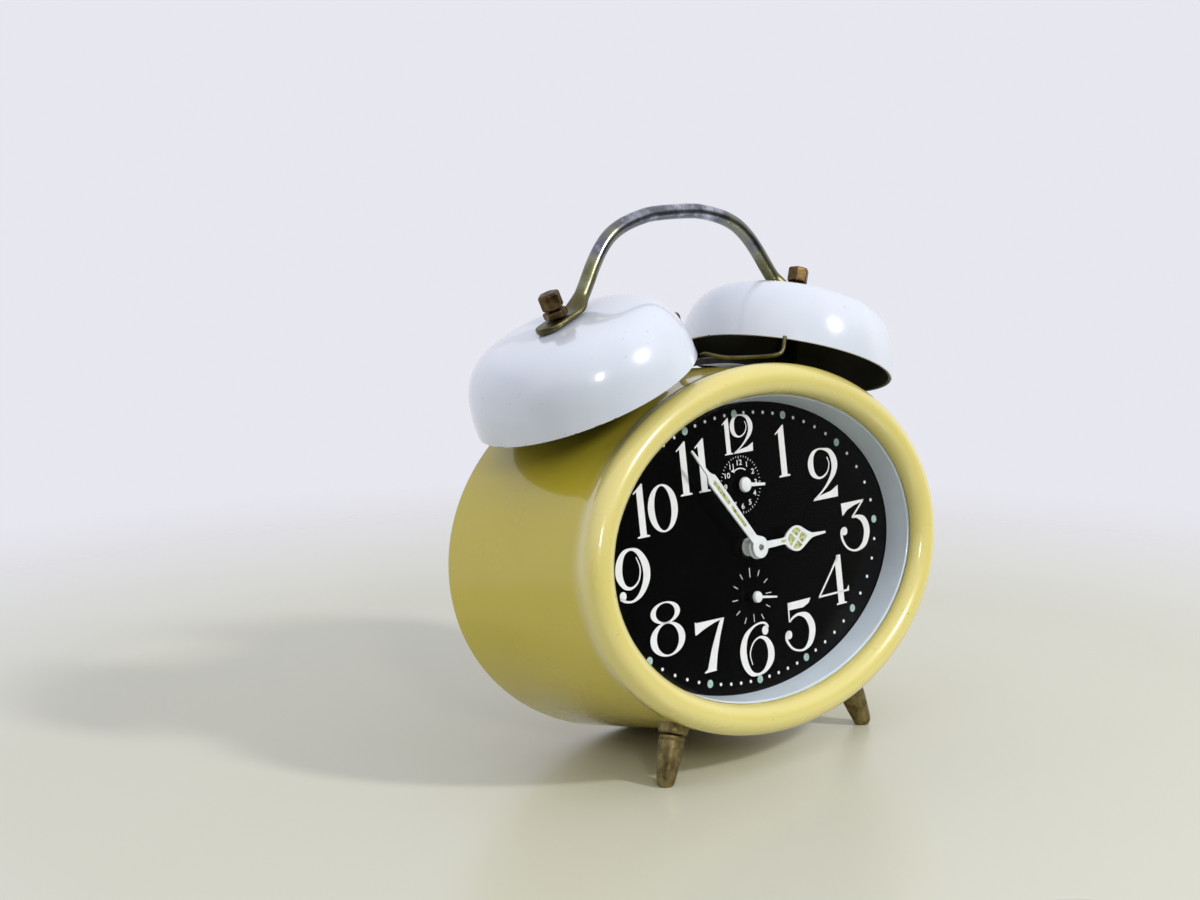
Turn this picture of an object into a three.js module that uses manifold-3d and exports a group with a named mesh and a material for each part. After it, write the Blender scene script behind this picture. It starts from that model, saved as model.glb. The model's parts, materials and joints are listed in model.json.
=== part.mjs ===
// A wind-up twin-bell alarm clock with an oval case, built piece by piece.
//
// Units are millimetres. The clock is drawn in its case frame: the origin is the
// middle of the dial's front face, +X is the reader's right, +Y goes back into the
// case and +Z is up. The case frame then leans back, so that the clock stands on its
// two feet and the lowest point of its rear rim.

import * as THREE from "three";
import { mergeVertices } from "three/addons/utils/BufferGeometryUtils.js";
import Module from "manifold-3d";

const wasm = await Module();
wasm.setup();

// ---- Driving dimensions ---------------------------------------------------

const LEAN = THREE.MathUtils.degToRad(8.48);
const GAP = 0.3; // air between neighbouring pieces

const DRUM_BACK = { a: 62.9, b: 46.2, y: 41.2 };
const DRUM_FRONT = { a: 61.8, b: 45.0, y: 0 };
const DRUM_WALL = 0.8;
const BEAD = { a: 59.35, b: 41.6, y: -7.7, radius: 4.0 };
const OVAL_STEPS = 56;

const DIAL = { a: 57, b: 39.4, thickness: 0.8 };
const CRYSTAL = { a: 55.0, b: 37.2, y: -8.6, thickness: 1.0 };

const CENTRE = { x: 0, z: 0 };
const ALARM_AXIS = { x: 0, z: 15.7 };
const SECONDS_AXIS = { x: 0, z: -12.6 };
const HAMMER_AXIS = { x: 0, z: 25 };

const BELL = { x: 36.2, y: 13.8, z: 43.1, radius: 28.4, height: 18.2, wall: 1.0, hole: 1.9 };
const BELL_TILT = THREE.MathUtils.degToRad(20.95);

const HANDLE_RADIUS = 1.9;
const LUG = { thickness: 1.6, width: 7.4, reach: 6.8, inner: -9.2, taper: -3.5, hole: 1.9 };
const STUD = { radius: 1.5, length: 7.4 };
const POST_RADIUS = 3.2;

const FOOT = { x: 32.4, y: -6.0, z: -38.84, splay: 0.394, forward: -0.165, length: 14.6 };

const PLATE = { halfWidth: 40, low: -29, high: 29, thickness: 1.2, frontY: 4.0, rearY: 24.0 };
const COVER = { a: 61.0, b: 44.4, y: 38.6, thickness: 1.0 };

const TIME_SPRING = { x: 22, z: -6 };
const ALARM_SPRING = { x: -22, z: -6 };
const THIRD_AXIS = { x: 8.97, z: -8.42 };
const ESCAPE_AXIS = { x: 6.5, z: -18.2 };
const PALLET_AXIS = { x: -1.2, z: -20.4 };
const BALANCE_AXIS = { x: -11, z: -20 };
const MINUTE_WHEEL_AXIS = { x: -6.8, z: -6.8 };
const STRIKE_AXIS = { x: -14, z: 7.6 };

// ---- Finishes -------------------------------------------------------------

const finish = (color, roughness, metalness) =>
  new THREE.MeshStandardMaterial({ color, roughness, metalness });

const YELLOW_ENAMEL = finish(0xe3d98f, 0.2, 0);
const WHITE_ENAMEL = finish(0xe6eaf2, 0.15, 0);
const BLACK_ENAMEL = finish(0x101010, 0.25, 0);
const GREY_ENAMEL = finish(0x99a2ab, 0.45, 0);
const DIAL_BLACK = finish(0x0b0b0c, 0.3, 0);
const HAND_WHITE = finish(0xf0efe8, 0.5, 0);
const WORN_NICKEL = finish(0x8d8b76, 0.3, 1);
const BROWN_BRASS = finish(0x6b5228, 0.4, 1);
const BRASS = finish(0xb59a52, 0.35, 1);
const STEEL = finish(0x8f9296, 0.35, 1);
const CLEAR_GLASS = new THREE.MeshStandardMaterial({
  color: 0xf4f8fa, roughness: 0.05, metalness: 0, transparent: true, opacity: 0.3,
});

// ---- Solids: from geometry to a boolean solid and back --------------------

function signedVolume(position, index) {
  const [a, b, c] = [new THREE.Vector3(), new THREE.Vector3(), new THREE.Vector3()];
  let total = 0;
  for (let i = 0; i < index.count; i += 3) {
    a.fromBufferAttribute(position, index.getX(i));
    b.fromBufferAttribute(position, index.getX(i + 1));
    c.fromBufferAttribute(position, index.getX(i + 2));
    total += a.dot(b.cross(c));
  }
  return total;
}

function solid(geometry) {
  const bare = geometry.clone();
  bare.deleteAttribute("normal");
  bare.deleteAttribute("uv");
  const merged = mergeVertices(bare, 1e-4);
  const triVerts = Uint32Array.from(merged.index.array);
  if (signedVolume(merged.attributes.position, merged.index) < 0) triVerts.reverse();
  const vertProperties = Float32Array.from(merged.attributes.position.array);
  return new wasm.Manifold(new wasm.Mesh({ numProp: 3, vertProperties, triVerts }));
}

function toGeometry(body) {
  const { vertProperties, triVerts } = body.getMesh();
  const geometry = new THREE.BufferGeometry();
  geometry.setAttribute("position", new THREE.BufferAttribute(vertProperties, 3));
  geometry.setIndex(new THREE.BufferAttribute(triVerts, 1));
  geometry.computeVertexNormals();
  return geometry;
}

const join = (...bodies) => bodies.reduce((whole, body) => whole.add(body));
const cut = (body, ...tools) => tools.reduce((left, tool) => left.subtract(tool), body);

const clock = new THREE.Group();
const caseGroup = new THREE.Group();
caseGroup.rotation.x = -LEAN;
clock.add(caseGroup);

function place(group, name, body, material) {
  const mesh = new THREE.Mesh(toGeometry(body), material);
  mesh.name = name;
  group.add(mesh);
}

const addToCase = (name, body, material) => place(caseGroup, name, body, material);

// ---- Shape helpers, all in the case frame ---------------------------------

// A round bar along Y, from yStart to yEnd.
function bar(axis, radius, yStart, yEnd, sides = 8) {
  const geometry = new THREE.CylinderGeometry(radius, radius, yEnd - yStart, sides);
  return solid(geometry.translate(axis.x, (yStart + yEnd) / 2, axis.z));
}

function block(low, high) {
  const geometry = new THREE.BoxGeometry(high[0] - low[0], high[1] - low[1], high[2] - low[2]);
  const middle = low.map((value, i) => (value + high[i]) / 2);
  return solid(geometry.translate(...middle));
}

// A flat shape drawn in X and Z, given thickness from yStart to yEnd.
function sheet(shape, yStart, yEnd, turn = 0, axis = CENTRE) {
  const options = { depth: yEnd - yStart, bevelEnabled: false, curveSegments: 3 };
  const geometry = new THREE.ExtrudeGeometry(shape, options);
  geometry.rotateZ(-turn).rotateX(Math.PI / 2);
  return solid(geometry.translate(axis.x, yEnd, axis.z));
}

function ovalShape(a, b, steps = OVAL_STEPS) {
  const points = [];
  for (let i = 0; i < steps; i += 1) {
    const angle = (2 * Math.PI * i) / steps;
    points.push(new THREE.Vector2(a * Math.cos(angle), b * Math.sin(angle)));
  }
  return new THREE.Shape(points);
}

// A closed section of rings {a, b, y} carried round the oval.
function ovalRing(section, steps = OVAL_STEPS) {
  const rings = section.length;
  const positions = [];
  for (const ring of section) {
    for (let i = 0; i < steps; i += 1) {
      const angle = (2 * Math.PI * i) / steps;
      positions.push(ring.a * Math.cos(angle), ring.y, ring.b * Math.sin(angle));
    }
  }
  const index = [];
  for (let r = 0; r < rings; r += 1) {
    for (let i = 0; i < steps; i += 1) {
      const next = (i + 1) % steps;
      const here = r * steps;
      const there = ((r + 1) % rings) * steps;
      index.push(here + i, there + i, there + next, here + i, there + next, here + next);
    }
  }
  const geometry = new THREE.BufferGeometry();
  geometry.setAttribute("position", new THREE.Float32BufferAttribute(positions, 3));
  geometry.setIndex(index);
  return solid(geometry);
}

// A solid of revolution from [radius, height] points, standing on its own Y axis.
function turned(profile, sides) {
  const points = profile.map(([radius, height]) => new THREE.Vector2(radius, height));
  return new THREE.LatheGeometry(points, sides);
}

// A flat toothed outline with a bore and, if asked, windows between its spokes.
function wheelShape(teeth, tip, bore, spokes = 0) {
  const root = tip - Math.min(1.1, (2.4 * tip) / teeth);
  const points = [];
  for (let i = 0; i < teeth * 2; i += 1) {
    const angle = (Math.PI * i) / teeth;
    const radius = i % 2 === 0 ? tip : root;
    points.push(new THREE.Vector2(radius * Math.cos(angle), radius * Math.sin(angle)));
  }
  const shape = new THREE.Shape(points);
  if (bore > 0) shape.holes.push(new THREE.Path().absarc(0, 0, bore, 0, 2 * Math.PI, true));
  const inner = bore + 0.18 * tip + 0.8;
  const outer = root - 0.14 * tip;
  for (let i = 0; i < spokes; i += 1) {
    const start = (2 * Math.PI * i) / spokes + 0.22;
    const end = (2 * Math.PI * (i + 1)) / spokes - 0.22;
    const hole = new THREE.Path();
    hole.absarc(0, 0, outer, start, end, false);
    hole.absarc(0, 0, inner, end, start, true);
    hole.closePath();
    shape.holes.push(hole);
  }
  return shape;
}

function wheel(axis, teeth, tip, yStart, thickness, bore = 0, spokes = 0) {
  return sheet(wheelShape(teeth, tip, bore, spokes), yStart, yStart + thickness, 0, axis);
}

// ---- Case -----------------------------------------------------------------

function beadRing(degrees) {
  const angle = THREE.MathUtils.degToRad(degrees);
  const out = BEAD.radius * Math.cos(angle);
  return { a: BEAD.a + out, b: BEAD.b + out, y: BEAD.y + BEAD.radius * Math.sin(angle) };
}

function shrink(ring, amount) {
  return { a: ring.a - amount, b: ring.b - amount, y: ring.y };
}

function caseSection() {
  const section = [];
  for (let degrees = 180; degrees <= 390; degrees += 30) section.push(beadRing(degrees));
  section.push({ a: 61.6, b: 44.4, y: -3.4 });
  section.push(DRUM_FRONT, DRUM_BACK, shrink(DRUM_BACK, DRUM_WALL));
  section.push(shrink(DRUM_FRONT, DRUM_WALL));
  section.push({ a: 60.6, b: 43.4, y: -4.2 }, { a: 57.0, b: 39.3, y: -6.6 });
  return section;
}

const SLOT = { halfWidth: 5.6, halfDepth: 2.0 };

function hammerSlot() {
  return block([-SLOT.halfWidth, BELL.y - SLOT.halfDepth, 40],
    [SLOT.halfWidth, BELL.y + SLOT.halfDepth, 52]);
}

function buildCase() {
  addToCase("case_drum", cut(ovalRing(caseSection()), hammerSlot()), YELLOW_ENAMEL);

  const ring = ovalRing([
    { a: 54.8, b: 36.2, y: -GAP },
    { a: 55.0, b: 37.2, y: -7.2 },
    { a: 55.9, b: 38.0, y: -7.2 },
    { a: 55.7, b: 37.1, y: -GAP },
  ], 48);
  addToCase("dial_ring", ring, GREY_ENAMEL);

  const crystal = sheet(ovalShape(CRYSTAL.a, CRYSTAL.b, 48), CRYSTAL.y, CRYSTAL.y + CRYSTAL.thickness);
  addToCase("crystal", crystal, CLEAR_GLASS);

  const dial = cut(
    sheet(ovalShape(DIAL.a, DIAL.b, 48), 0, DIAL.thickness),
    bar(CENTRE, 2.5, -1, 2),
    bar(ALARM_AXIS, 1.3, -1, 2),
    bar(SECONDS_AXIS, 0.9, -1, 2),
  );
  addToCase("dial_plate", dial, DIAL_BLACK);
}

// ---- Rear cover -----------------------------------------------------------

const REGULATOR = { reach: 12, swing: 0.42, slot: 1.3 };
const STOP = { x: 18, z: 26, travel: 6, stem: 1.2 };
const COVER_SCREWS = [{ x: -48, z: 2 }, { x: 48, z: 2 }];

function arcSlot(axis, reach, swing, halfWidth, yStart, yEnd) {
  const down = -Math.PI / 2;
  const shape = new THREE.Shape();
  shape.absarc(0, 0, reach + halfWidth, down - swing, down + swing, false);
  shape.absarc(0, 0, reach - halfWidth, down + swing, down - swing, true);
  shape.closePath();
  return sheet(shape, yStart, yEnd, 0, axis);
}

function buildRearCover() {
  const [front, back] = [COVER.y, COVER.y + COVER.thickness];
  const through = (axis, radius) => bar(axis, radius, front - 1, back + 1);
  const stopSlot = block([STOP.x - 1.7, front - 1, STOP.z - 1.7],
    [STOP.x + STOP.travel + 1.7, back + 1, STOP.z + 1.7]);
  const cover = cut(
    sheet(ovalShape(COVER.a, COVER.b), front, back),
    through(CENTRE, 2.0),
    through(ALARM_AXIS, 2.0),
    through(TIME_SPRING, 2.6),
    through(ALARM_SPRING, 2.6),
    ...COVER_SCREWS.map((axis) => through(axis, 1.6)),
    arcSlot(BALANCE_AXIS, REGULATOR.reach, REGULATOR.swing + 0.14, REGULATOR.slot, front - 1, back + 1),
    stopSlot,
  );
  addToCase("rear_cover", cover, YELLOW_ENAMEL);

  COVER_SCREWS.forEach((axis, i) => {
    const head = bar(axis, 3.0, back + GAP, back + GAP + 1.5, 16);
    const shank = bar(axis, 1.2, front - 5, back + GAP + 0.5);
    const slot = block([axis.x - 4, back + 1.2, axis.z - 0.4], [axis.x + 4, back + 3, axis.z + 0.4]);
    addToCase(`cover_screw_${i + 1}`, cut(join(head, shank), slot), BRASS);
  });
}

// ---- Bells, their bridge, posts and nuts, and the handle --------------------

// Puts a shape that stands on its own Y axis onto a bell's axis, at a height above its rim.
function onBellAxis(geometry, side, height) {
  const direction = new THREE.Vector3(side * Math.sin(BELL_TILT), 0, Math.cos(BELL_TILT));
  const up = new THREE.Vector3(0, 1, 0);
  const spot = new THREE.Vector3(side * BELL.x, BELL.y, BELL.z).addScaledVector(direction, height);
  const turn = new THREE.Quaternion().setFromUnitVectors(up, direction);
  geometry.applyMatrix4(new THREE.Matrix4().compose(spot, turn, new THREE.Vector3(1, 1, 1)));
  return solid(geometry);
}

// Upright at the rim and full at the shoulder, then nearly flat over the top.
function bellProfile() {
  const steps = 6;
  const curve = (radius, height) => {
    const points = [];
    for (let i = 0; i <= steps; i += 1) {
      const angle = (Math.PI / 2) * (i / steps);
      const reach = radius * Math.max(0, Math.cos(angle)) ** 0.36;
      points.push([reach, height * Math.sin(angle) ** 0.87]);
    }
    return points;
  };
  const outside = curve(BELL.radius, BELL.height).filter(([radius]) => radius > BELL.hole);
  const inside = curve(BELL.radius - BELL.wall, BELL.height - BELL.wall)
    .filter(([radius]) => radius > BELL.hole);
  const crown = [[BELL.hole, BELL.height], [BELL.hole, BELL.height - BELL.wall]];
  return [...outside, ...crown, ...inside.reverse(), outside[0]];
}

const BRIDGE = { rise: 0.7, thickness: 1.8, yStart: 8.6, yEnd: 19.0, halfSpan: 38 };

// The oval of the case's outside at the bridge, grown by a given amount.
function bridgeOval(growth, steps = OVAL_STEPS) {
  const share = BRIDGE.yEnd / DRUM_BACK.y;
  const a = THREE.MathUtils.lerp(DRUM_FRONT.a, DRUM_BACK.a, share) + growth;
  const b = THREE.MathUtils.lerp(DRUM_FRONT.b, DRUM_BACK.b, share) + growth;
  return ovalShape(a, b, steps);
}

function buildBridge() {
  const top = BRIDGE.rise + BRIDGE.thickness;
  const shell = cut(
    sheet(bridgeOval(top), BRIDGE.yStart, BRIDGE.yEnd),
    sheet(bridgeOval(BRIDGE.rise), BRIDGE.yStart - 1, BRIDGE.yEnd + 1),
  );
  const window = block([-BRIDGE.halfSpan, BRIDGE.yStart - 2, 20], [BRIDGE.halfSpan, BRIDGE.yEnd + 2, 60]);
  addToCase("bell_bridge", cut(shell.intersect(window), hammerSlot()), BLACK_ENAMEL);
}

function postSolid(side) {
  const shoulder = BELL.height - BELL.wall - GAP;
  const tip = BELL.height + STUD.length;
  const foot = -8; // inside the case, before the bridge's oval cuts it off
  const profile = [
    [0, foot],
    [POST_RADIUS, foot],
    [POST_RADIUS, shoulder],
    [STUD.radius, shoulder],
    [STUD.radius, tip],
    [0, tip],
  ];
  const clearance = sheet(bridgeOval(BRIDGE.rise + BRIDGE.thickness + GAP), -5, 35);
  return cut(onBellAxis(turned(profile, 14), side, 0), clearance);
}

function hexNut(acrossFlats, height, hole) {
  const corner = acrossFlats / Math.sqrt(3);
  const nut = new THREE.CylinderGeometry(corner, corner, height, 6).translate(0, height / 2, 0);
  const bore = new THREE.CylinderGeometry(hole, hole, height + 2, 14).translate(0, height / 2, 0);
  return { nut, bore };
}

const LUG_NUT = { flats: 5.4, height: 1.8 };
const CAP_NUT = { radius: 2.9, height: 4.2, crown: 0.9 };

function buildBellSide(side, label) {
  addToCase(`${label}_bell`, onBellAxis(turned(bellProfile(), 26), side, 0), WHITE_ENAMEL);
  addToCase(`${label}_bell_post`, postSolid(side), BLACK_ENAMEL);

  const nutHeight = BELL.height + LUG.thickness + 2 * GAP;
  const { nut, bore } = hexNut(LUG_NUT.flats, LUG_NUT.height, LUG.hole);
  const lugNut = cut(onBellAxis(nut, side, nutHeight), onBellAxis(bore, side, nutHeight));
  addToCase(`${label}_lug_nut`, lugNut, BROWN_BRASS);

  const capHeight = nutHeight + LUG_NUT.height + GAP;
  const { radius, height, crown } = CAP_NUT;
  const depth = BELL.height + STUD.length + GAP - capHeight;
  const cap = [
    [LUG.hole, 0],
    [radius, 0],
    [radius, height - crown],
    [radius - crown, height],
    [0, height],
    [0, depth],
    [LUG.hole, depth],
    [LUG.hole, 0],
  ];
  addToCase(`${label}_cap_nut`, onBellAxis(turned(cap, 12), side, capHeight), BROWN_BRASS);
}

// The right half of the handle's middle line, as [x, z] points.
const ARCH_TOP = 85.3;
const ARCH = [[10, 84.8], [17, 83.2], [22.4, 80.9], [26.4, 77.7], [29.8, 73.6], [32.7, 69.3], [35.1, 66.2]];

function handleRod() {
  const right = ARCH.map(([x, z]) => new THREE.Vector3(x, BELL.y, z));
  const left = right.map((point) => new THREE.Vector3(-point.x, point.y, point.z)).reverse();
  const path = new THREE.CatmullRomCurve3([...left, new THREE.Vector3(0, BELL.y, ARCH_TOP), ...right]);
  const circle = new THREE.Shape().absarc(0, 0, HANDLE_RADIUS, 0, 2 * Math.PI, false);
  const options = { steps: 24, curveSegments: 4, bevelEnabled: false, extrudePath: path };
  return solid(new THREE.ExtrudeGeometry(circle, options));
}

// The flattened end of the rod: a plate lying on the bell, round at its outer end.
function lugPlate(side) {
  const half = LUG.width / 2;
  const shape = new THREE.Shape();
  shape.moveTo(LUG.inner, -HANDLE_RADIUS);
  shape.lineTo(LUG.taper, -half);
  shape.lineTo(LUG.reach - half, -half);
  shape.absarc(LUG.reach - half, 0, half, -Math.PI / 2, Math.PI / 2, false);
  shape.lineTo(LUG.taper, half);
  shape.lineTo(LUG.inner, HANDLE_RADIUS);
  shape.closePath();
  const options = { depth: LUG.thickness, bevelEnabled: false, curveSegments: 8 };
  const geometry = new THREE.ExtrudeGeometry(shape, options);
  geometry.rotateX(-Math.PI / 2);
  if (side < 0) geometry.rotateY(Math.PI);
  return onBellAxis(geometry, side, BELL.height + GAP);
}

// The bend between the rod and its lug.
function lugBend(side) {
  const bend = new THREE.CatmullRomCurve3([
    new THREE.Vector3(side * 34.4, BELL.y, 66.9),
    new THREE.Vector3(side * 36.0, BELL.y, 65.3),
    new THREE.Vector3(side * 38.6, BELL.y, 63.8),
  ]);
  const shape = new THREE.Shape().absarc(0, 0, HANDLE_RADIUS * 0.85, 0, 2 * Math.PI, false);
  const options = { steps: 2, curveSegments: 4, bevelEnabled: false, extrudePath: bend };
  return solid(new THREE.ExtrudeGeometry(shape, options));
}

function buildHandle() {
  let handle = handleRod();
  for (const side of [-1, 1]) {
    const hole = new THREE.CylinderGeometry(LUG.hole, LUG.hole, 12, 14);
    handle = join(handle, lugPlate(side), lugBend(side));
    handle = cut(handle, onBellAxis(hole, side, BELL.height));
  }
  addToCase("carry_handle", handle, WORN_NICKEL);
}

// ---- Hammer and strike wire -------------------------------------------------

// At rest the hammer leans towards the left bell, a degree short of touching it.
const HAMMER = { headRadius: 2.8, headHeight: 6.0, top: 60.3, rodRadius: 0.9, lean: -9 };

function buildHammer() {
  const rodTop = HAMMER.top - HAMMER.headHeight / 2;
  const rodLength = rodTop - HAMMER_AXIS.z;
  const rod = new THREE.CylinderGeometry(HAMMER.rodRadius, HAMMER.rodRadius, rodLength, 10);
  rod.rotateX(Math.PI / 2).translate(0, BELL.y, HAMMER_AXIS.z + rodLength / 2);
  const [r, h] = [HAMMER.headRadius, HAMMER.headHeight];
  const head = turned([[0, 0], [r - 1, 0], [r, 1], [r, h - 1], [r - 1, h], [0, h]], 16);
  head.rotateX(Math.PI / 2).translate(0, BELL.y, HAMMER.top - h);
  const arbor = bar(HAMMER_AXIS, 1.2, PLATE.frontY + 2, PLATE.rearY - GAP);
  const anchor = new THREE.Shape([
    [-9.4, -8.2], [-8.0, -9.4], [-1.2, -1.6], [1.2, -1.6], [4.6, -6.0], [5.8, -5.0], [1.6, 1.8], [-1.6, 1.8],
  ].map(([x, z]) => new THREE.Vector2(x, z)));
  const anchorPlate = sheet(anchor, 19.5, 20.3, 0, HAMMER_AXIS);
  const hammer = join(solid(rod), solid(head), arbor, anchorPlate)
    .translate([-HAMMER_AXIS.x, 0, -HAMMER_AXIS.z])
    .rotate([0, HAMMER.lean, 0])
    .translate([HAMMER_AXIS.x, 0, HAMMER_AXIS.z]);
  addToCase("hammer", hammer, STEEL);
}

function buildStrikeWire() {
  const points = [[0.4, 9.6, 48.6], [0.9, 8.2, 48.9], [4, 4.4, 47.6], [9, -1.2, 47.0], [12.4, -4.9, 47.0],
    [14.8, -5.4, 48.4], [15.8, -5.4, 51.4]];
  const path = new THREE.CatmullRomCurve3(points.map((point) => new THREE.Vector3(...point)));
  const circle = new THREE.Shape().absarc(0, 0, 0.5, 0, 2 * Math.PI, false);
  const options = { steps: 10, curveSegments: 3, bevelEnabled: false, extrudePath: path };
  addToCase("strike_wire", solid(new THREE.ExtrudeGeometry(circle, options)), WORN_NICKEL);
}

// ---- Hands ----------------------------------------------------------------

// One side of a hand's outline, as [half width, distance from its axis] points.
const MINUTE_OUTLINE = [[1.0, 2.4], [1.15, 7], [1.5, 22], [1.5, 24.6], [0.5, 25.8], [0.3, 33.8]];
const HOUR_OUTLINE = [
  [0.9, 2.5], [0.75, 10.2], [1.9, 11.6], [3.1, 14.4], [3.2, 16], [1.6, 18.6], [0.5, 20.2], [0.3, 26.2],
];
const ALARM_OUTLINE = [[0.5, 1.5], [0.4, 7.0]];
const SECONDS_OUTLINE = [[0.45, 1.2], [0.25, 6.9]];

function hand(name, axis, outline, hub, bore, yStart, thickness, degrees) {
  const right = outline.map(([half, reach]) => new THREE.Vector2(half, reach));
  const left = outline.map(([half, reach]) => new THREE.Vector2(-half, reach)).reverse();
  const blade = new THREE.Shape([new THREE.Vector2(outline[0][0], 0), ...right, ...left,
    new THREE.Vector2(-outline[0][0], 0)]);
  const turn = THREE.MathUtils.degToRad(degrees);
  const body = join(
    sheet(blade, yStart, yStart + thickness, turn, axis),
    bar(axis, hub, yStart, yStart + thickness, 20),
  );
  addToCase(name, cut(body, bar(axis, bore, yStart - 1, yStart + thickness + 1)), HAND_WHITE);
}

const MINUTE_ANGLE = -38.2;
const HOUR_ANGLE = 90;
const ALARM_ANGLE = 95.8;
const SECONDS_ANGLE = 98.7;

function buildHands() {
  hand("minute_hand", CENTRE, MINUTE_OUTLINE, 2.75, 0.9, -4.7, 0.5, MINUTE_ANGLE);
  hand("hour_hand", CENTRE, HOUR_OUTLINE, 2.95, 2.3, -3.5, 0.5, HOUR_ANGLE);
  hand("alarm_hand", ALARM_AXIS, ALARM_OUTLINE, 1.9, 1.0, -1.9, 0.4, ALARM_ANGLE);
  hand("seconds_hand", SECONDS_AXIS, SECONDS_OUTLINE, 1.45, 0.8, -2.3, 0.4, SECONDS_ANGLE);
}

// ---- Feet -----------------------------------------------------------------

const GROUND = -(DRUM_BACK.y * Math.sin(LEAN) + DRUM_BACK.b * Math.cos(LEAN));

// Stands a turned shape, whose own Y runs down the foot, at a foot's place under the case.
function onFootAxis(geometry, side) {
  const direction = new THREE.Vector3(side * FOOT.splay, FOOT.forward, -1).normalize();
  const turn = new THREE.Quaternion().setFromUnitVectors(new THREE.Vector3(0, 1, 0), direction);
  const spot = new THREE.Vector3(side * FOOT.x, FOOT.y, FOOT.z);
  geometry.applyMatrix4(new THREE.Matrix4().compose(spot, turn, new THREE.Vector3(1, 1, 1)));
  return solid(geometry);
}

// Everything inside the case's outside, grown by the usual gap, in the standing frame.
function caseClearance() {
  const grown = sheet(ovalShape(DRUM_FRONT.a + GAP, DRUM_FRONT.b + GAP), -20, DRUM_BACK.y);
  return grown.rotate([-THREE.MathUtils.radToDeg(LEAN), 0, 0]);
}

function buildFeet() {
  const standing = new THREE.Group();
  clock.add(standing);
  const below = block([-90, -90, GROUND - 40], [90, 90, GROUND]);
  for (const [side, label] of [[-1, "left"], [1, "right"]]) {
    const leg = [[0, 1.5 + GAP], [3.25, 1.5 + GAP], [3.2, 5], [2.3, 12.6], [1.6, 14.4], [0, FOOT.length]];
    const collar = [[0, -3], [3.7, -3], [3.7, 1.1], [3.3, 1.5], [0, 1.5]];
    place(standing, `${label}_foot`, cut(onFootAxis(turned(leg, 16), side), below), BROWN_BRASS);
    const seat = cut(onFootAxis(turned(collar, 16), side), caseClearance());
    place(standing, `${label}_foot_collar`, seat, BROWN_BRASS);
  }
}

// ---- Movement frame ---------------------------------------------------------

const PILLARS = [{ x: -36, z: 25 }, { x: 36, z: 25 }, { x: -35, z: -26 }, { x: 35, z: -26 }];

function plateShape() {
  const { halfWidth, low, high } = PLATE;
  const corner = 5;
  const shape = new THREE.Shape();
  shape.moveTo(-halfWidth + corner, low);
  shape.lineTo(halfWidth - corner, low);
  shape.lineTo(halfWidth, low + corner);
  shape.lineTo(halfWidth, high - corner);
  shape.lineTo(halfWidth - corner, high);
  shape.lineTo(-halfWidth + corner, high);
  shape.lineTo(-halfWidth, high - corner);
  shape.lineTo(-halfWidth, low + corner);
  shape.closePath();
  return shape;
}

function movementPlate(name, yStart, arbors) {
  const yEnd = yStart + PLATE.thickness;
  const holes = arbors.map(([axis, radius]) => bar(axis, radius, yStart - 1, yEnd + 1));
  addToCase(name, cut(sheet(plateShape(), yStart, yEnd), ...holes), BRASS);
}

function buildFrame() {
  movementPlate("front_plate", PLATE.frontY,
    [[CENTRE, 1.4], [ALARM_AXIS, 1.5], [SECONDS_AXIS, 1.0]]);
  movementPlate("rear_plate", PLATE.rearY,
    [[CENTRE, 1.4], [ALARM_AXIS, 1.5], [TIME_SPRING, 2.0], [ALARM_SPRING, 2.0]]);
  PILLARS.forEach((axis, i) => {
    const start = PLATE.frontY + PLATE.thickness + GAP;
    addToCase(`pillar_${i + 1}`, bar(axis, 2.5, start, PLATE.rearY - GAP), BRASS);
  });
}

// ---- Time train -------------------------------------------------------------

// A flat strip wound into a spiral, from an inner to an outer radius.
function spiral(axis, inner, outer, turns, strip, yStart, yEnd) {
  const stepsPerTurn = 10;
  const steps = Math.round(turns * stepsPerTurn);
  const edge = (shift) => {
    const points = [];
    for (let i = 0; i <= steps; i += 1) {
      const angle = (2 * Math.PI * i) / stepsPerTurn;
      const radius = inner + ((outer - inner) * i) / steps + shift;
      points.push(new THREE.Vector2(radius * Math.cos(angle), radius * Math.sin(angle)));
    }
    return points;
  };
  const shape = new THREE.Shape([...edge(strip), ...edge(0).reverse()]);
  return sheet(shape, yStart, yEnd, 0, axis);
}

function winding(label, axis) {
  const arbor = join(
    bar(axis, 1.6, PLATE.frontY + PLATE.thickness + GAP, 43.6),
    bar(axis, 2.4, 8.4, 16.6),
  );
  addToCase(`${label}_winding_arbor`, arbor, STEEL);
}

function windingKey(label, axis) {
  const yStart = 41.6;
  const hub = bar(axis, 2.9, yStart, yStart + 5.4, 14);
  const wing = new THREE.Shape();
  wing.absarc(-6.2, 0, 4.2, Math.PI / 2, -Math.PI / 2, false);
  wing.absarc(6.2, 0, 4.2, -Math.PI / 2, Math.PI / 2, false);
  wing.closePath();
  for (const x of [-6.6, 6.6]) {
    wing.holes.push(new THREE.Path().absarc(x, 0, 1.9, 0, 2 * Math.PI, true));
  }
  const options = { depth: 1.6, bevelEnabled: false, curveSegments: 8 };
  const wings = new THREE.ExtrudeGeometry(wing, options);
  wings.translate(axis.x, yStart + 6.6, -0.8 + axis.z);
  const socket = bar(axis, 1.9, yStart - 1, 43.6 + GAP);
  addToCase(`${label}_winding_key`, cut(join(solid(wings), hub), socket), BRASS);
}

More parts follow.
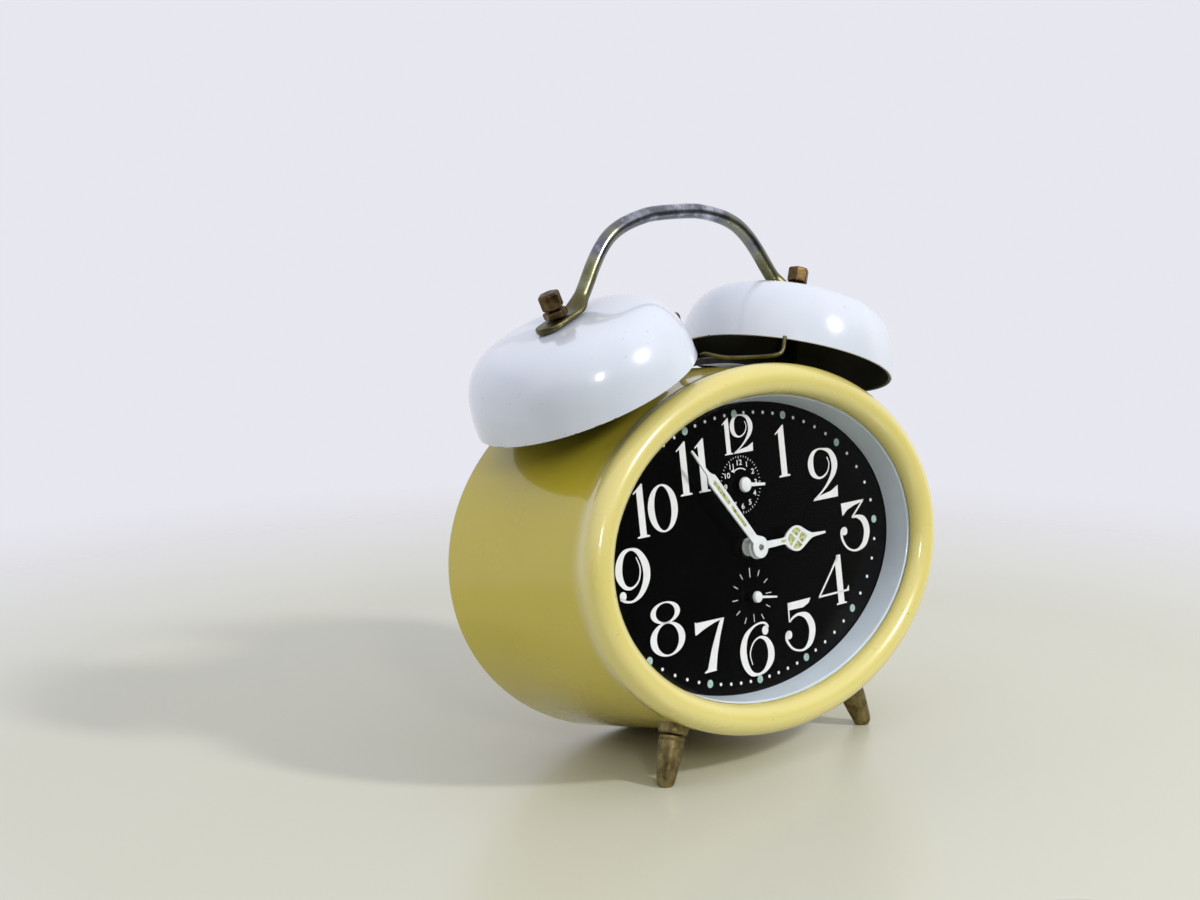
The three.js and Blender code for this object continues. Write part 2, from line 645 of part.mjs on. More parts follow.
function buildTimeTrain() {
  winding("time", TIME_SPRING);
  addToCase("time_great_wheel", wheel(TIME_SPRING, 32, 19, 6.2, 1.4, 2.0, 3), BRASS);
  addToCase("time_mainspring", spiral(TIME_SPRING, 3.4, 10.2, 4, 0.5, 8.4, 16.6), STEEL);

  const pinion = wheel(CENTRE, 8, 3.2, 5.6, 3.4);
  const centre = join(pinion, wheel(CENTRE, 24, 10, 9.4, 0.9, 0, 3), bar(CENTRE, 2.2, 8.8, 12));
  addToCase("centre_wheel", cut(centre, bar(CENTRE, 1.3, 4, 14)), BRASS);

  addToCase("third_wheel", join(
    bar(THIRD_AXIS, 0.6, 8.4, PLATE.rearY - GAP),
    wheel(THIRD_AXIS, 8, 2.0, 9.2, 1.4),
    wheel(THIRD_AXIS, 20, 8, 19.0, 0.7, 0, 3),
  ), BRASS);
  addToCase("fourth_wheel", join(
    bar(SECONDS_AXIS, 0.5, -2.6, PLATE.rearY - GAP),
    wheel(SECONDS_AXIS, 8, 1.6, 18.6, 1.5),
    wheel(SECONDS_AXIS, 20, 7, 21.6, 0.7, 0, 3),
  ), BRASS);
  addToCase("escape_wheel", join(
    bar(ESCAPE_AXIS, 0.5, 9.4, PLATE.rearY - GAP),
    wheel(ESCAPE_AXIS, 6, 1.3, 21.2, 1.5),
    wheel(ESCAPE_AXIS, 15, 4.5, 16.6, 0.6),
  ), BRASS);
}

function buildEscapement() {
  const lever = new THREE.Shape([
    [2.4, 2.6], [1.6, 3.2], [-0.8, 0.9], [-6.6, 1.1], [-6.6, 0.5], [-5.4, 0.1], [-6.6, -0.4], [-6.6, -1.0],
    [-0.8, -0.9], [1.2, -2.6], [2.2, -2.2], [0.9, 0],
  ].map(([x, z]) => new THREE.Vector2(x, z)));
  addToCase("pallet_lever", join(
    sheet(lever, 16.6, 17.2, 0, PALLET_AXIS),
    bar(PALLET_AXIS, 0.5, 12, 18.2, 8),
  ), STEEL);

  addToCase("balance_wheel", join(
    bar(BALANCE_AXIS, 0.6, 6, PLATE.rearY - GAP),
    bar(BALANCE_AXIS, 1.3, 16.4, 17.4),
    wheel(BALANCE_AXIS, 12, 6.4, 18.6, 1.0, 0, 3),
  ), BRASS);
  addToCase("hairspring", spiral(BALANCE_AXIS, 1.3, 4.6, 3, 0.25, 20.6, 21.1), STEEL);

  const ring = cut(bar(BALANCE_AXIS, 3.4, 25.8, 26.6, 16), bar(BALANCE_AXIS, 1.6, 25, 28));
  const arm = block([BALANCE_AXIS.x - 0.8, 25.8, BALANCE_AXIS.z - REGULATOR.reach],
    [BALANCE_AXIS.x + 0.8, 26.6, BALANCE_AXIS.z - 2.4]);
  const tipZ = BALANCE_AXIS.z - REGULATOR.reach;
  const tip = block([BALANCE_AXIS.x - 0.8, 25.8, tipZ - 0.5], [BALANCE_AXIS.x + 0.8, 42.6, tipZ + 0.5]);
  addToCase("regulator_lever", join(ring, arm, tip), STEEL);
}

// ---- Motion work and hand setting ---------------------------------------------

function knob(name, axis, radius, yStart, arborEnd) {
  const grip = wheel(axis, 16, radius, yStart + 1.2, 3.6);
  const collar = bar(axis, radius * 0.62, yStart, yStart + 1.2, 16);
  const socket = bar(axis, 1.3, yStart - 1, arborEnd + GAP);
  addToCase(name, cut(join(grip, collar), socket), BRASS);
}

function buildMotionWork() {
  addToCase("centre_arbor", join(bar(CENTRE, 0.6, -5.2, 3), wheel(CENTRE, 10, 2.4, 2.5, 0.8),
    bar(CENTRE, 0.9, 3.2, 43.4)), STEEL);
  addToCase("minute_wheel", join(
    bar(MINUTE_WHEEL_AXIS, 0.6, 1.2, 3.6),
    wheel(MINUTE_WHEEL_AXIS, 20, 6.9, 2.5, 0.8),
    wheel(MINUTE_WHEEL_AXIS, 8, 1.6, 1.3, 0.8),
  ), BRASS);
  const hour = join(wheel(CENTRE, 24, 7.6, 1.3, 0.8), bar(CENTRE, 2.0, -3.7, 1.5, 14));
  addToCase("hour_wheel", cut(hour, bar(CENTRE, 1.2, -5, 3)), BRASS);
  addToCase("alarm_cam_wheel", wheel(ALARM_AXIS, 24, 7.6, 1.3, 0.8, 1.4), BRASS);
  addToCase("alarm_arbor", join(bar(ALARM_AXIS, 0.7, -2.1, 3), bar(ALARM_AXIS, 1.0, 2.6, 43.4)), STEEL);
  knob("time_set_knob", CENTRE, 6.0, 40.4, 43.4);
  knob("alarm_set_knob", ALARM_AXIS, 4.6, 40.4, 43.4);
}

// ---- Alarm train --------------------------------------------------------------

function buildAlarmTrain() {
  winding("alarm", ALARM_SPRING);
  addToCase("alarm_great_wheel", wheel(ALARM_SPRING, 24, 13, 6.2, 1.4, 2.0, 3), BRASS);
  addToCase("alarm_mainspring", spiral(ALARM_SPRING, 3.4, 10.2, 4, 0.5, 8.4, 16.6), STEEL);
  addToCase("strike_wheel", join(
    bar(STRIKE_AXIS, 0.7, 5.6, PLATE.rearY - GAP),
    wheel(STRIKE_AXIS, 8, 2.4, 6.0, 1.8),
    wheel(STRIKE_AXIS, 16, 7, 19.5, 0.8, 0, 3),
  ), BRASS);

  const stopAxis = { x: STOP.x, z: STOP.z };
  const behind = COVER.y + COVER.thickness + GAP;
  addToCase("alarm_stop_button", join(
    bar(stopAxis, STOP.stem, 30, behind + 1),
    bar(stopAxis, 3.2, behind, behind + 3.2, 16),
    bar(stopAxis, 2.6, 33, COVER.y - GAP),
  ), BRASS);
}

// ---- Assembly -----------------------------------------------------------------

buildCase();
buildRearCover();
buildBridge();
buildBellSide(-1, "left");
buildBellSide(1, "right");
buildHandle();
buildHammer();
buildStrikeWire();
buildHands();
buildFeet();
buildFrame();
buildTimeTrain();
buildEscapement();
buildMotionWork();
buildAlarmTrain();
for (const [label, axis] of [["time", TIME_SPRING], ["alarm", ALARM_SPRING]]) windingKey(label, axis);

// The finished clock stands on Z = 0, with its outer box centred on the Z axis.
clock.updateMatrixWorld(true);
const box = new THREE.Box3().setFromObject(clock, true);
clock.position.set(-(box.min.x + box.max.x) / 2, -(box.min.y + box.max.y) / 2, -GROUND);

export default clock;
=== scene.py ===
"""The looks of a wind-up twin-bell alarm clock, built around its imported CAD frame.

Shapes are drawn in millimetres in the clock's case frame, as the CAD model is: the origin
is the middle of the dial's front face, +X the reader's right, +Y back into the case and +Z
up the dial. CASE turns that into the row frame in metres, with the case's backward lean.
"""

import json
import math

import bmesh
import bpy
from mathutils import Matrix, Vector


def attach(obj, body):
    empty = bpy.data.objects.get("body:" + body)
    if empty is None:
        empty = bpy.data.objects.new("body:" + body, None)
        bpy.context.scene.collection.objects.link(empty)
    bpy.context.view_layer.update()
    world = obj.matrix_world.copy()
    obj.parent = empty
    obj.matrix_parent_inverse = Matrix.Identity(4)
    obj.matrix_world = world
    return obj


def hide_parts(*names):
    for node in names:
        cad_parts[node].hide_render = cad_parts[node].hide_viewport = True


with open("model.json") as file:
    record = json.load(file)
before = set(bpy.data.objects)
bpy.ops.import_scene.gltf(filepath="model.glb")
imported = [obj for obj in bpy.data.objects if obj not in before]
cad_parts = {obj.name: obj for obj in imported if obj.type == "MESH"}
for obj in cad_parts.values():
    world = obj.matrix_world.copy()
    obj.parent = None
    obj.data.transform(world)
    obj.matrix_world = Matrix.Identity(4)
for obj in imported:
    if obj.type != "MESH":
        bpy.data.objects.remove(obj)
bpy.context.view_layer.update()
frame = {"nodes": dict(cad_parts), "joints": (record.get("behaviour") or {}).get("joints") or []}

MM = 0.001
MIDDLE_Y = 13.8  # the plane of the bells' axes, the handle and every joint's anchor

# The case, as half axes of its ovals and places along Y.
BEAD = {"a": 59.35, "b": 41.6, "y": -7.7, "radius": 3.95}
DRUM_FRONT = (61.8, 45.0, 0.0)
DRUM_BACK = (62.9, 46.2, 41.2)
CRYSTAL = (55.0, 37.2)
DIAL = (57.0, 39.4)
MINUTE_TRACK = (50.0, 33.5)
COVER = (61.0, 44.4)
COVER_Y = (38.6, 39.6)
SLOT_HALF = (5.6, 2.0)  # the hammer's slot, across and along the case
OVAL_STEPS = 176
FLAT_OVAL_STEPS = 128

# The bells: the two powers shape the dome's side and its rise.
BELL = {"x": 36.2, "z": 43.1, "radius": 28.39, "height": 18.2, "wall": 0.9, "hole": 1.9}
BELL_POWERS = (0.36, 0.87)
BELL_TILT = math.radians(20.95)
BRIDGE = {"y": 8.7, "depth": 10.2, "half": 37.8, "under": 0.7, "over": 2.45}
LUG_THICKNESS = 1.6
LUG_NUT_HEIGHT = 1.8
HANDLE_RADIUS = 1.9
STUD_LENGTH = 7.4
GAP = 0.3

# The arbors and hands, with clockwise angles from 12 o'clock.
ALARM_Z = 15.7
SECONDS_Z = -12.6
HAMMER_Z = 25.0
HAMMER_LEAN = math.radians(-9)
MINUTE_ANGLE = -38.2
HOUR_ANGLE = 90.0
ALARM_ANGLE = 95.8
SECONDS_ANGLE = 98.7
INK = (-0.05, 0.0)  # front and back of the dial's printed layer

# The back.
SPRINGS = ((22.0, -6.0, "time"), (-22.0, -6.0, "alarm"))
REGULATOR = {"x": -11.0, "z": -20.0, "reach": 12.0, "slot": 1.3, "swing": math.radians(32)}
STOP = {"x": 18.0, "z": 26.0, "travel": 6.0, "slot": 1.7}
KEY_Y = 41.6
KNOB_Y = 40.4

SHARP = 32  # degrees between faces, above which an edge stays sharp
SIDES = ((-1, "left"), (1, "right"))


# ---- The case frame -----------------------------------------------------------


def joint(name):
    return next(j for j in frame["joints"] if j["name"] == name)


def case_matrix():
    """From case millimetres to row metres, read off the minute hand's own axis."""
    axis = Vector(joint("minute_turn")["axis"])
    origin = Vector(joint("minute_turn")["pos_m"]) - axis * MIDDLE_Y * MM
    lean = math.atan2(-axis.z, axis.y)
    return Matrix.Translation(origin) @ Matrix.Rotation(-lean, 4, "X") @ Matrix.Scale(MM, 4)


CASE = case_matrix()
STANDING = Matrix.Translation(CASE.translation) @ Matrix.Scale(MM, 4)  # upright, same origin
DIAL_MAP = Matrix.Rotation(math.radians(90), 4, "X")  # a flat drawing's XY onto the case's XZ


def turned_about(x, z, degrees):
    """A flat drawing pointing to 12 o'clock, turned clockwise and moved to an arbor."""
    return Matrix.Translation((x, 0, z)) @ DIAL_MAP @ Matrix.Rotation(-math.radians(degrees), 4, "Z")


def bell_matrix(side, height):
    """A shape that stands on its own Z axis, put on a bell's axis at a height above its rim."""
    along = Vector((side * math.sin(BELL_TILT), 0, math.cos(BELL_TILT)))
    spot = Vector((side * BELL["x"], MIDDLE_Y, BELL["z"])) + along * height
    return Matrix.Translation(spot) @ Matrix.Rotation(side * BELL_TILT, 4, "Y")


# ---- Materials ----------------------------------------------------------------


class Finish:
    """A Principled material with a few shorthands for its procedural detail."""

    def __init__(self, name, color, roughness, metallic=0.0, coat=0.0, specular=0.5):
        self.material = bpy.data.materials.new(name)
        self.material.use_nodes = True
        self.tree = self.material.node_tree
        self.shader = self.tree.nodes["Principled BSDF"]
        self.shader.inputs["Base Color"].default_value = (*color, 1)
        self.shader.inputs["Roughness"].default_value = roughness
        self.shader.inputs["Metallic"].default_value = metallic
        self.shader.inputs["Coat Weight"].default_value = coat
        self.shader.inputs["Coat Roughness"].default_value = 0.04
        self.shader.inputs["Specular IOR Level"].default_value = specular
        self.place = self.node("ShaderNodeTexCoord").outputs["Object"]

    def node(self, kind):
        return self.tree.nodes.new(kind)

    def link(self, source, target):
        self.tree.links.new(source, target)

    def noise(self, scale, detail=3.0, roughness=0.5, stretch=(1, 1, 1)):
        mapping = self.node("ShaderNodeMapping")
        mapping.inputs["Scale"].default_value = stretch
        texture = self.node("ShaderNodeTexNoise")
        texture.inputs["Scale"].default_value = scale
        texture.inputs["Detail"].default_value = detail
        texture.inputs["Roughness"].default_value = roughness
        self.link(self.place, mapping.inputs["Vector"])
        self.link(mapping.outputs["Vector"], texture.inputs["Vector"])
        return texture.outputs["Fac"]

    def ramp(self, value, stops):
        ramp = self.node("ShaderNodeValToRGB")
        elements = ramp.color_ramp.elements
        while len(elements) < len(stops):
            elements.new(0.5)
        for element, (position, color) in zip(elements, stops):
            element.position = position
            element.color = (*color, 1)
        self.link(value, ramp.inputs["Fac"])
        return ramp.outputs["Color"]

    def levels(self, value, low, high, start, end):
        """Maps value from low..high onto start..end, clamped."""
        node = self.node("ShaderNodeMapRange")
        inputs = ("From Min", "From Max", "To Min", "To Max")
        for name, number in zip(inputs, (low, high, start, end)):
            node.inputs[name].default_value = number
        self.link(value, node.inputs["Value"])
        return node.outputs["Result"]

    def mix(self, factor, first, second):
        node = self.node("ShaderNodeMix")
        node.data_type = "RGBA"
        self.link(factor, node.inputs["Factor"])
        for socket, source in ((node.inputs["A"], first), (node.inputs["B"], second)):
            if isinstance(source, tuple):
                socket.default_value = (*source, 1)
            else:
                self.link(source, socket)
        return node.outputs["Result"]

    def attribute(self, name):
        node = self.node("ShaderNodeAttribute")
        node.attribute_name = name
        return node.outputs["Fac"]

    def math(self, operation, first, second):
        node = self.node("ShaderNodeMath")
        node.operation = operation
        node.use_clamp = True
        for socket, source in zip(node.inputs, (first, second)):
            if isinstance(source, (int, float)):
                socket.default_value = source
            else:
                self.link(source, socket)
        return node.outputs["Value"]

    def color(self, source):
        self.link(source, self.shader.inputs["Base Color"])

    def rough(self, source):
        self.link(source, self.shader.inputs["Roughness"])

    def tones(self, scale, detail, *stops, roughness=0.5):
        """A colour that wanders between tones, as (level, colour) stops."""
        return self.ramp(self.noise(scale, detail, roughness), stops)

    def gloss(self, scale, detail, low, high):
        """An uneven roughness from low to high."""
        self.rough(self.levels(self.noise(scale, detail), 0.3, 0.7, low, high))

    def grain(self, scale, detail, strength, depth, stretch=(1, 1, 1)):
        """A fine unevenness of the surface, its depth in metres."""
        node = self.node("ShaderNodeBump")
        node.inputs["Strength"].default_value = strength
        node.inputs["Distance"].default_value = depth
        self.link(self.noise(scale, detail, 0.5, stretch), node.inputs["Height"])
        self.link(node.outputs["Normal"], self.shader.inputs["Normal"])


def yellow_enamel():
    """Yellow enamel, paler on the bead than on the drum: painted light on the bead and painted shade on
    the drum.
    """
    skin = Finish("yellow_enamel", (0.70, 0.61, 0.13), 0.25, coat=0.8)
    # Painted shade: the drum's darker, deeper yellow.
    drum = skin.tones(30, 2, (0.3, (0.56, 0.46, 0.035)), (0.7, (0.60, 0.495, 0.045)))
    # Painted light: the bead's paler yellow.
    bead = skin.tones(30, 2, (0.3, (0.72, 0.63, 0.19)), (0.7, (0.75, 0.66, 0.22)))
    # The "bead" mask blends the drum's painted shade into the bead's painted light.
    base = skin.mix(skin.attribute("bead"), drum, bead)
    specks = skin.levels(skin.noise(900, 1), 0.78, 0.80, 0.0, 0.8)
    skin.color(skin.mix(specks, base, (0.30, 0.22, 0.06)))
    skin.gloss(90, 3, 0.2, 0.3)
    skin.grain(130, 1, 0.03, 0.0003)
    return skin.material


def white_enamel():
    """Cool white enamel that is chipped along the rim, where the steel shows rusty."""
    skin = Finish("white_enamel", (0.74, 0.79, 0.87), 0.25, coat=0.8)
    base = skin.tones(45, 3, (0.3, (0.66, 0.715, 0.80)), (0.7, (0.74, 0.785, 0.855)))
    ragged = skin.levels(skin.noise(420, 4, 0.6), 0.50, 0.62, 0.0, 1.0)
    near_rim = skin.math("MULTIPLY", skin.attribute("rim"), skin.math("ADD", ragged, 0.1))
    chip = skin.levels(near_rim, 0.8, 0.95, 0.0, 1.0)
    rust = skin.tones(900, 3, (0.35, (0.05, 0.03, 0.015)), (0.65, (0.35, 0.25, 0.12)))
    specks = skin.levels(skin.noise(1100, 2), 0.735, 0.765, 0.0, 0.7)
    skin.color(skin.mix(chip, skin.mix(specks, base, (0.30, 0.24, 0.15)), rust))
    skin.gloss(70, 3, 0.16, 0.28)
    skin.grain(110, 1, 0.03, 0.0003)
    return skin.material


def black_enamel():
    skin = Finish("black_enamel", (0.012, 0.012, 0.012), 0.3, coat=0.3)
    dust = skin.levels(skin.noise(1300, 3), 0.66, 0.78, 0.0, 1.0)
    skin.color(skin.mix(dust, (0.010, 0.010, 0.011), (0.05, 0.045, 0.035)))
    skin.gloss(120, 3, 0.24, 0.42)
    skin.grain(300, 2, 0.06, 0.0004)
    return skin.material


def bell_inside():
    skin = Finish("bell_inside", (0.012, 0.013, 0.012), 0.5, specular=0.3)
    skin.color(skin.tones(60, 5, (0.3, (0.010, 0.011, 0.010)), (0.75, (0.030, 0.031, 0.027))))
    skin.gloss(90, 3, 0.4, 0.6)
    skin.grain(600, 3, 0.1, 0.0003)
    return skin.material


def grey_enamel():
    skin = Finish("grey_enamel", (0.66, 0.71, 0.75), 0.36, coat=0.3)
    skin.color(skin.tones(60, 4, (0.3, (0.71, 0.78, 0.86)), (0.7, (0.79, 0.86, 0.94))))
    skin.gloss(200, 3, 0.3, 0.45)
    skin.grain(500, 3, 0.08, 0.0003)
    return skin.material


def dial_black():
    skin = Finish("dial_black", (0.001, 0.001, 0.0012), 0.25, specular=0.06)
    dust = skin.levels(skin.noise(2600, 2), 0.73, 0.78, 0.0, 0.6)
    skin.color(skin.mix(dust, (0.001, 0.001, 0.0014), (0.012, 0.012, 0.012)))
    skin.gloss(60, 3, 0.18, 0.26)
    skin.grain(400, 2, 0.02, 0.0002)
    return skin.material


def print_white():
    skin = Finish("print_white", (0.90, 0.87, 0.86), 0.5)
    skin.color(skin.tones(500, 4, (0.3, (0.90, 0.87, 0.87)), (0.65, (0.96, 0.94, 0.94))))
    skin.grain(2500, 3, 0.15, 0.0001)
    return skin.material


def hand_white():
    skin = Finish("hand_white", (0.84, 0.85, 0.83), 0.38)
    skin.color(skin.tones(350, 4, (0.3, (0.84, 0.85, 0.86)), (0.65, (0.92, 0.93, 0.95))))
    skin.gloss(300, 3, 0.3, 0.5)
    skin.grain(1500, 3, 0.1, 0.0001)
    return skin.material


def lume_dot():
    skin = Finish("lume_dot", (0.42, 0.58, 0.50), 0.8)
    skin.color(skin.tones(900, 4, (0.3, (0.33, 0.47, 0.42)), (0.7, (0.50, 0.66, 0.58))))
    skin.grain(2600, 3, 0.4, 0.0002)
    return skin.material


def lume_old():
    """Old luminous paint: green-yellow, browned in patches."""
    skin = Finish("lume_old", (0.45, 0.48, 0.14), 0.85)
    stops = (0.36, (0.16, 0.11, 0.03)), (0.46, (0.46, 0.47, 0.16)), (0.62, (0.62, 0.70, 0.42))
    skin.color(skin.tones(800, 5, *stops, roughness=0.65))
    skin.grain(2200, 3, 0.5, 0.0002)
    return skin.material


def worn_nickel():
    """Nickel plate, bright on the arch and stained brown and green towards its lugs, darkened by painted
    reflection: its dark blue-grey tones stand in for dark surroundings mirrored in the plate.
    """
    skin = Finish("worn_nickel", (0.5, 0.49, 0.42), 0.2, metallic=1.0)
    # Streaks of stain and painted reflection, blotched over the whole handle.
    streaks = skin.levels(skin.noise(120, 5, 0.6), 0.3, 0.8, 0.0, 0.5)
    stain_and_reflection = skin.math("ADD", skin.math("MULTIPLY", skin.attribute("stain_and_reflection"), 0.55), streaks)
    # The silvery stop is the nickel itself. The dark blue-grey stop and the overall darkening are
    # painted reflection. The olive and brown stops are stain.
    stops = [
        (0.08, (0.56, 0.57, 0.63)),
        (0.24, (0.16, 0.165, 0.20)),
        (0.42, (0.27, 0.27, 0.19)),
        (0.62, (0.15, 0.145, 0.065)),
        (0.86, (0.06, 0.04, 0.018)),
    ]
    skin.color(skin.ramp(stain_and_reflection, stops))
    skin.rough(skin.levels(stain_and_reflection, 0.1, 0.9, 0.14, 0.46))
    skin.grain(700, 4, 0.12, 0.0002)
    return skin.material


def old_brass(name, dark, light):
    """Brass gone brown, blotched from dark to light."""
    skin = Finish(name, light, 0.4, metallic=1.0)
    middle = tuple((low + high) / 2 for low, high in zip(dark, light))
    skin.color(skin.tones(260, 6, (0.3, dark), (0.5, middle), (0.72, light), roughness=0.65))
    skin.gloss(420, 4, 0.28, 0.55)
    skin.grain(900, 4, 0.2, 0.0003)
    return skin.material


def brass():
    skin = Finish("brass", (0.62, 0.47, 0.19), 0.3, metallic=1.0)
    skin.color(skin.tones(150, 5, (0.3, (0.42, 0.30, 0.11)), (0.7, (0.68, 0.53, 0.23))))
    skin.gloss(300, 4, 0.22, 0.42)
    skin.grain(900, 3, 0.06, 0.0002, stretch=(1, 1, 12))
    return skin.material


def steel():
    skin = Finish("steel", (0.42, 0.42, 0.43), 0.32, metallic=1.0)
    skin.color(skin.tones(200, 5, (0.3, (0.22, 0.21, 0.20)), (0.7, (0.48, 0.48, 0.49))))
    skin.gloss(400, 4, 0.25, 0.45)
    skin.grain(1200, 3, 0.08, 0.0002)
    return skin.material


def dark_steel():
    skin = Finish("dark_steel", (0.09, 0.08, 0.07), 0.4, metallic=1.0)
    skin.color(skin.tones(300, 5, (0.3, (0.03, 0.025, 0.02)), (0.7, (0.16, 0.14, 0.11))))
    skin.gloss(400, 4, 0.3, 0.5)
    skin.grain(1200, 3, 0.15, 0.0002)
    return skin.material


def crystal_glass():
    """Thin clear glass: it lets the dial through and adds only its own reflection."""
    material = bpy.data.materials.new("crystal_glass")
    material.use_nodes = True
    nodes, links = material.node_tree.nodes, material.node_tree.links
    nodes.clear()
    output = nodes.new("ShaderNodeOutputMaterial")
    mix = nodes.new("ShaderNodeMixShader")
    clear = nodes.new("ShaderNodeBsdfTransparent")
    clear.inputs["Color"].default_value = (0.97, 0.98, 0.98, 1)
    gloss = nodes.new("ShaderNodeBsdfGlossy")
    gloss.inputs["Roughness"].default_value = 0.03
    facing = nodes.new("ShaderNodeLayerWeight")
    facing.inputs["Blend"].default_value = 0.015
    links.new(facing.outputs["Facing"], mix.inputs["Fac"])
    links.new(clear.outputs["BSDF"], mix.inputs[1])
    links.new(gloss.outputs["BSDF"], mix.inputs[2])
    links.new(mix.outputs["Shader"], output.inputs["Surface"])
    return material


FINISHES = {
    "yellow_enamel": yellow_enamel(),
    "white_enamel": white_enamel(),
    "black_enamel": black_enamel(),
    "bell_inside": bell_inside(),
    "grey_enamel": grey_enamel(),
    "dial_black": dial_black(),
    "print_white": print_white(),
    "hand_white": hand_white(),
    "lume_dot": lume_dot(),
    "lume_old": lume_old(),
    "worn_nickel": worn_nickel(),
    "brown_brass": old_brass("brown_brass", (0.03, 0.018, 0.008), (0.22, 0.145, 0.06)),
    "foot_brass": old_brass("foot_brass", (0.07, 0.052, 0.018), (0.36, 0.29, 0.13)),
    "brass": brass(),
    "steel": steel(),
    "dark_steel": dark_steel(),
    "crystal_glass": crystal_glass(),
}


# ---- Mesh helpers ---------------------------------------------------------------


def tidy(mesh, sharp=SHARP):
    """Merges doubles, points the faces out and keeps only real edges sharp."""
    work = bmesh.new()
    work.from_mesh(mesh)
    bmesh.ops.remove_doubles(work, verts=work.verts, dist=1e-7)
    bmesh.ops.dissolve_degenerate(work, edges=work.edges, dist=1e-8)
    bmesh.ops.recalc_face_normals(work, faces=work.faces)
    for face in work.faces:
        face.smooth = True
    for edge in work.edges:
        if len(edge.link_faces) == 2:
            edge.smooth = edge.calc_face_angle(0.0) < math.radians(sharp)
    work.to_mesh(mesh)
    work.free()


def link_piece(obj, body, replaces):
    if obj.name not in bpy.context.scene.collection.objects:
        bpy.context.scene.collection.objects.link(obj)
    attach(obj, body)
    if replaces:
        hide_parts(*replaces)
    return obj


def flatten(obj):
    """Lets large flat faces keep a flat shading beside their rounded edges."""
    normals = obj.modifiers.new("flat faces", "WEIGHTED_NORMAL")
    normals.keep_sharp = True


def joined_mesh(name, parts, matrix, sharp=SHARP):
    """One mesh from several (verts, faces) parts, moved by the matrix."""
    verts, faces = [], []
    for part_verts, part_faces in parts:
        start = len(verts)
        verts.extend(matrix @ Vector(v) for v in part_verts)
        faces.extend(tuple(start + i for i in face) for face in part_faces)
    mesh = bpy.data.meshes.new(name)
    mesh.from_pydata(verts, [], faces)
    tidy(mesh, sharp)
    return mesh


def evaluated_mesh(obj):
    return bpy.data.meshes.new_from_object(obj.evaluated_get(bpy.context.evaluated_depsgraph_get()))


def clamped(value):
    return min(1.0, max(0.0, value))


def paint(obj, layer_name, place, value_at):
    """Fills a point attribute from each vertex's position in the frame of place."""
    inverse = place.inverted()
    layer = obj.data.attributes.new(layer_name, "FLOAT", "POINT")
    for i, vertex in enumerate(obj.data.vertices):
        layer.data[i].value = value_at(inverse @ vertex.co)


def piece(name, parts, finish, body="case", replaces=(), matrix=CASE, sharp=SHARP):
    """One object from several (verts, faces) parts in the given frame's units."""
    mesh = joined_mesh(name, parts, matrix, sharp)
    mesh.materials.append(FINISHES[finish])
    obj = link_piece(bpy.data.objects.new(name, mesh), body, replaces)
    flatten(obj)
    return obj


def loft(rings, close=False):
    """Quads between rings of equal length. An open loft is capped at both ends."""
    count = len(rings[0])
    verts = [v for ring in rings for v in ring]
    faces = []
    pairs = len(rings) if close else len(rings) - 1
    for r in range(pairs):
        here, there = r * count, ((r + 1) % len(rings)) * count
        for i in range(count):
            j = (i + 1) % count
            faces.append((here + i, here + j, there + j, there + i))
    if not close:
        faces.append(tuple(range(count)))
        faces.append(tuple(range(len(verts) - count, len(verts))))
    return verts, faces


def oval(a, b, y, steps=OVAL_STEPS):
    angles = [2 * math.pi * i / steps for i in range(steps)]
    return [(a * math.cos(t), y, b * math.sin(t)) for t in angles]


def oval_ring(section, steps=OVAL_STEPS):
    return loft([oval(a, b, y, steps) for a, b, y in section], close=True)


def circle(radius, x=0.0, y=0.0, steps=40):
    angles = [2 * math.pi * i / steps for i in range(steps)]
    return [(x + radius * math.cos(t), y + radius * math.sin(t)) for t in angles]


def lathe(profile, steps=48, matrix=Matrix.Identity(4), close=False):
    """A solid of revolution about its own Z axis, from (radius, height) points."""
    rings = []
    for radius, height in profile:
        ring = [matrix @ Vector((x, y, height)) for x, y in circle(radius, steps=steps)]
        rings.append([tuple(v) for v in ring])
    return loft(rings, close)


def along_y(x, z, y=0.0):
    """Stands a lathe on an arbor, its height running back into the case."""
    return Matrix.Translation((x, y, z)) @ Matrix.Rotation(math.radians(-90), 4, "X")


def smooth_line(points, steps):
    """A Catmull-Rom line through points of any dimension, with steps per stretch."""
    ends = [tuple(2 * a - b for a, b in zip(points[0], points[1]))]
    tail = [tuple(2 * a - b for a, b in zip(points[-1], points[-2]))]
    knots = ends + [tuple(p) for p in points] + tail
    line = []
    for p0, p1, p2, p3 in zip(knots, knots[1:], knots[2:], knots[3:]):
        for i in range(steps):
            t = i / steps
            line.append(tuple(
                0.5 * (2 * b + (c - a) * t + (2 * a - 5 * b + 4 * c - d) * t**2
                       + (3 * b - a - 3 * c + d) * t**3)
                for a, b, c, d in zip(p0, p1, p2, p3)
            ))
    line.append(tuple(points[-1]))
    return line


def rounded(width, height, power=2.0, steps=24):
    """A cross-section from ellipse (power 2) towards rectangle (larger power)."""
    points = []
    for i in range(steps):
        t = 2 * math.pi * i / steps
        c, s = math.cos(t), math.sin(t)
        points.append((
            math.copysign(abs(c) ** (2 / power), c) * width,
            math.copysign(abs(s) ** (2 / power), s) * height,
        ))
    return points


def sweep(path, sections, side):
    """Carries one cross-section per path point; its first axis stays near side."""
    rings = []
    for i, point in enumerate(path):
        ahead = Vector(path[min(i + 1, len(path) - 1)]) - Vector(path[max(i - 1, 0)])
        across = ahead.cross(Vector(side)).normalized()
        flat = across.cross(ahead).normalized()
        rings.append([tuple(Vector(point) + flat * u + across * v) for u, v in sections[i]])
    return loft(rings)


